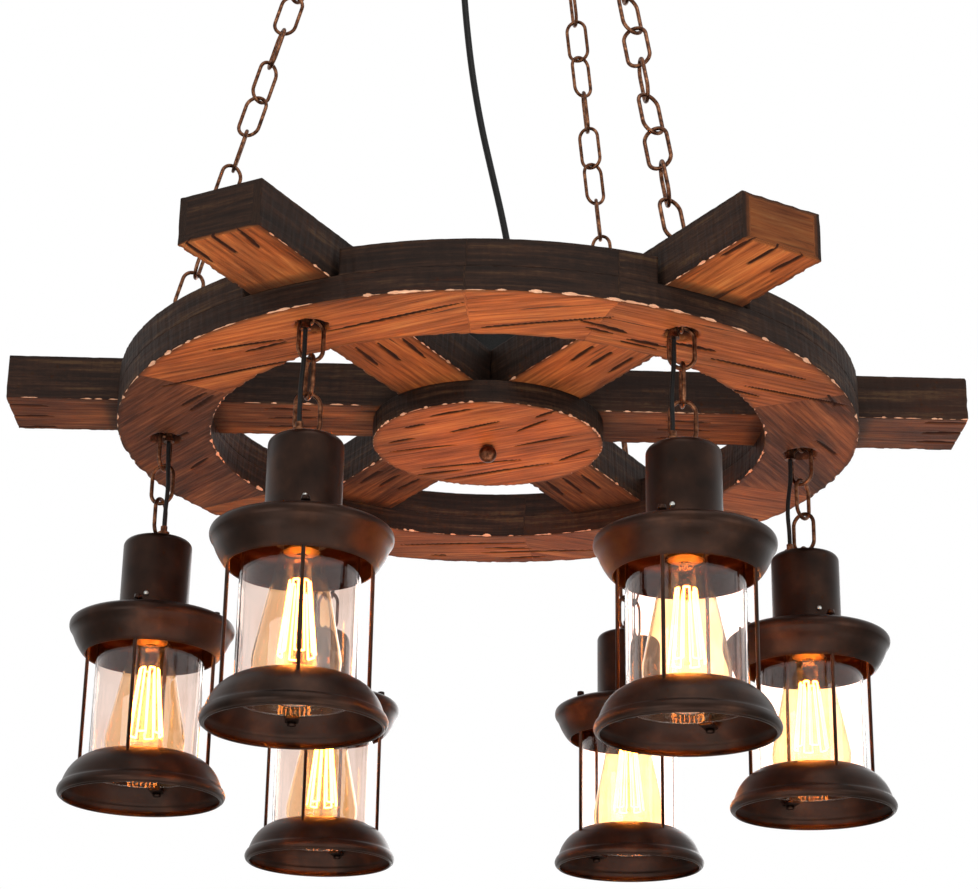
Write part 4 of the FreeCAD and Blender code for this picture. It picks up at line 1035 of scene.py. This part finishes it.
def makeCage(number):
    # skirt, and four rods with their heads, nuts and feet; a rod is one line of circles whose
    # radius steps out for its head and nuts
    s = lanternShape
    foot = s["glassFoot"]
    skirt = lanternPiece("skirt_sheet", sheetOutline(curveThrough(s["skirt"], 6), 1.0, 0.9), number,
                         bronze, 128)
    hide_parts(f"lantern_{number}_cage")
    centre = lanternCentre(number) + np.array([0, 0, rimZ])
    up = np.array([0, 0, 1.0])
    heights = [-152.7, -153.3, -156.7, -156.8, -284.3, -284.4, -287.4, -287.5, -289.8, -289.9,
               -292.4, -292.9]
    radii = [1.2, 3.0, 3.4, 1.5, 1.5, 3.3, 3.3, 1.5, 1.5, 3.3, 3.3, 1.4]
    for index in range(4):
        angle = math.radians(hooks[number][1] + 90 * index)
        out = np.array([math.cos(angle), math.sin(angle), 0.0])
        side = np.array([-out[1], out[0], 0.0])
        path = centre + s["rodCircle"] * mm * out + np.outer(np.array(heights) * mm, up)
        rod = makeSurface(f"lantern_{number}_rod_{index + 1}", tubeGrid(path, np.array(radii) * mm, 12),
                          bronze, f"lantern_{number}")
        # foot: a flat strip with rounded edges from under the glass to the rod
        edge = np.array([(-5, 0), (-4.6, -0.9), (4.6, -0.9), (5, 0), (4.6, 0.9), (-4.6, 0.9)])
        stations = np.array([(40.0, 0.0), (40.0, 0.8), (40.8, 1.0), (55.2, 1.0), (56.0, 0.8),
                             (56.0, 0.0)])
        strip = (centre + mm * (stations[:, None, :1] * out
                                + stations[:, None, 1:] * edge[None, :, :1] * side
                                + (foot - 1.0 + stations[:, None, 1:] * edge[None, :, 1:]) * up))
        footPiece = makeSurface(f"lantern_{number}_foot_{index + 1}", strip, bronze,
                                f"lantern_{number}", smooth=False)


def makeGlass(number):
    # a straight tube 2 mm thick with fire-polished, rounded ends
    top, foot = lanternShape["glassTop"], lanternShape["glassFoot"]
    outline = [(43.5, foot + 1), (43.5, -190.0), (43.5, top - 1.2), (43.2, top - 0.3), (42.5, top),
               (41.8, top - 0.3), (41.5, top - 1.2), (41.5, -190.0), (41.5, foot + 1),
               (41.8, foot + 0.3), (42.5, foot + 0.02), (43.2, foot + 0.3)]
    piece = lanternPiece("glass_tube", outline, number, lanternGlass, 128)
    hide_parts(f"lantern_{number}_glass")


bulbShape = {
    "top": -151.9,
    "baseFloor": -177.9,
    "bottom": -291.9,
    "radius": 32.0,
    "neck": 16.5,
    "wires": 12,
    "wireRadius": 0.85,
    # how strongly the envelope glass emits its painted glow, which stands in for the wire's glare:
    # none at its neck, all of it from here down
    "glow": 0.3,
    "glowTop": -205.0,
    "glowFull": -245.0,
}


def makeBulb(number):
    # envelope: a straight neck tangent to a ball, blown 0.9 mm thick. base: a rolled thread.
    # filament: a zigzag of twelve straight runs between two rings of hooks
    s = bulbShape
    ball = s["bottom"] + s["radius"]
    neckZ = s["baseFloor"] - 2.5
    away = math.hypot(s["neck"], neckZ - ball)
    turn = math.atan2(neckZ - ball, s["neck"]) - math.acos(s["radius"] / away)
    arcTurns = np.linspace(turn, -math.pi / 2 + 0.02, 30)
    neckLine = [(13.2, s["baseFloor"] - 0.2), (14.6, s["baseFloor"] - 0.9), (15.8, neckZ + 0.2)]
    tangent = (s["radius"] * math.cos(turn), ball + s["radius"] * math.sin(turn))
    straight = [(s["neck"] + (tangent[0] - s["neck"]) * t, neckZ + (tangent[1] - neckZ) * t)
                for t in np.linspace(0.04, 0.95, 12)]
    round_ = [(s["radius"] * math.cos(t), ball + s["radius"] * math.sin(t)) for t in arcTurns]
    line = np.array(neckLine + straight + round_)
    along = np.gradient(line, axis=0)
    along /= np.linalg.norm(along, axis=1)[:, None]
    inner = line - np.stack([-along[:, 1], along[:, 0]], axis=1) * 0.9
    inner = np.where(inner[:, :1] < 0, np.array([[0.0, inner[-1, 1]]]), inner)
    outline = np.vstack([line, [(0, s["bottom"])], [(0, s["bottom"] + 0.9)], inner[::-1]])
    body = f"bulb_{number}"
    grid = spin(outline, lanternCentre(number), 72)
    # painted glow on the envelope glass, standing in for the glare of the wire: none at the neck, full
    # from glowFull down
    heat = s["glow"] * (1 - smoothStep(s["glowFull"], s["glowTop"], (grid[..., 2] - rimZ) / mm))
    envelope = makeSurface(f"bulb_{number}_envelope", grid, lampGlass, body, closedRows=True,
                           attributes={"heat": heat})
    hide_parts(f"lantern_{number}_bulb")
    threadZ = np.linspace(s["baseFloor"] - 0.2, s["top"] + 3, 60)
    threadR = 12.75 + 0.35 * np.cos(2 * np.pi * (threadZ - s["baseFloor"]) / 3.6)
    base = [(0, s["baseFloor"] - 0.2), (12.4, s["baseFloor"] - 0.2), *zip(threadR, threadZ),
            (10, s["top"] + 1.2), (4.6, s["top"] + 0.6), (4.4, s["top"]), (0, s["top"])]
    cap = makeSurface(f"bulb_{number}_screw_base", spin(base, lanternCentre(number), 48), brass, body,
                      closedRows=True)
    centre = lanternCentre(number) + np.array([0, 0, rimZ])
    stemLine = [(0, -180.2), (5.4, -180.4), (5.0, -190), (3.4, -200), (2.4, -206), (1.3, -210),
                (1.2, -252), (2.2, -255), (0, -256)]
    stem = makeSurface(f"bulb_{number}_stem", spin(stemLine, lanternCentre(number), 24), lanternGlass,
                       body, closedRows=True)
    turns = np.linspace(0, 2 * np.pi, s["wires"], endpoint=False) + 0.3 * number
    corners = []
    for index, angle in enumerate(turns):
        ends = [(7.5, -200.0), (13.5, -254.0)]
        for radius, height in (ends if index % 2 == 0 else ends[::-1]):
            corners.append(centre + mm * np.array([radius * math.cos(angle),
                                                   radius * math.sin(angle), height]))
    path = []
    heat = []
    for a, b in zip(corners, corners[1:]):
        for t in np.linspace(0, 1, 9)[:-1]:
            path.append(a * (1 - t) + b * t)
            heat.append(0.35 + 0.65 * math.sin(math.pi * t))
    grid = tubeGrid(np.array(path), s["wireRadius"] * mm, 6)
    hot = np.repeat(np.concatenate([[heat[0]], heat, [heat[-1]]])[:, None], 6, 1)
    wire = makeSurface(f"bulb_{number}_filament", grid, tungsten, body, attributes={"heat": hot})


for number in lanternNumbers:
    makeCap(number)
    makeCage(number)
    makeGlass(number)
    makeBulb(number)
print("lanterns made")


finishes = {
    "ceiling_bracket": zinc,
    "ceiling_canopy": bronze,
    "left_chain": copper,
    "near_chain": copper,
    "far_chain": copper,
    "screw_eyes": copper,
    "hub_bolt": copper,
    "junction_box": moulded,
}
for number in lanternNumbers:
    finishes[f"lantern_{number}_hanger"] = copper
    finishes[f"lantern_{number}_lampholder"] = moulded
for name, material in finishes.items():
    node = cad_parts[name]
    piece = node if isinstance(node, bpy.types.Object) else bpy.data.objects[name]
    for slot in piece.material_slots:
        slot.material = material
print("finishes set")
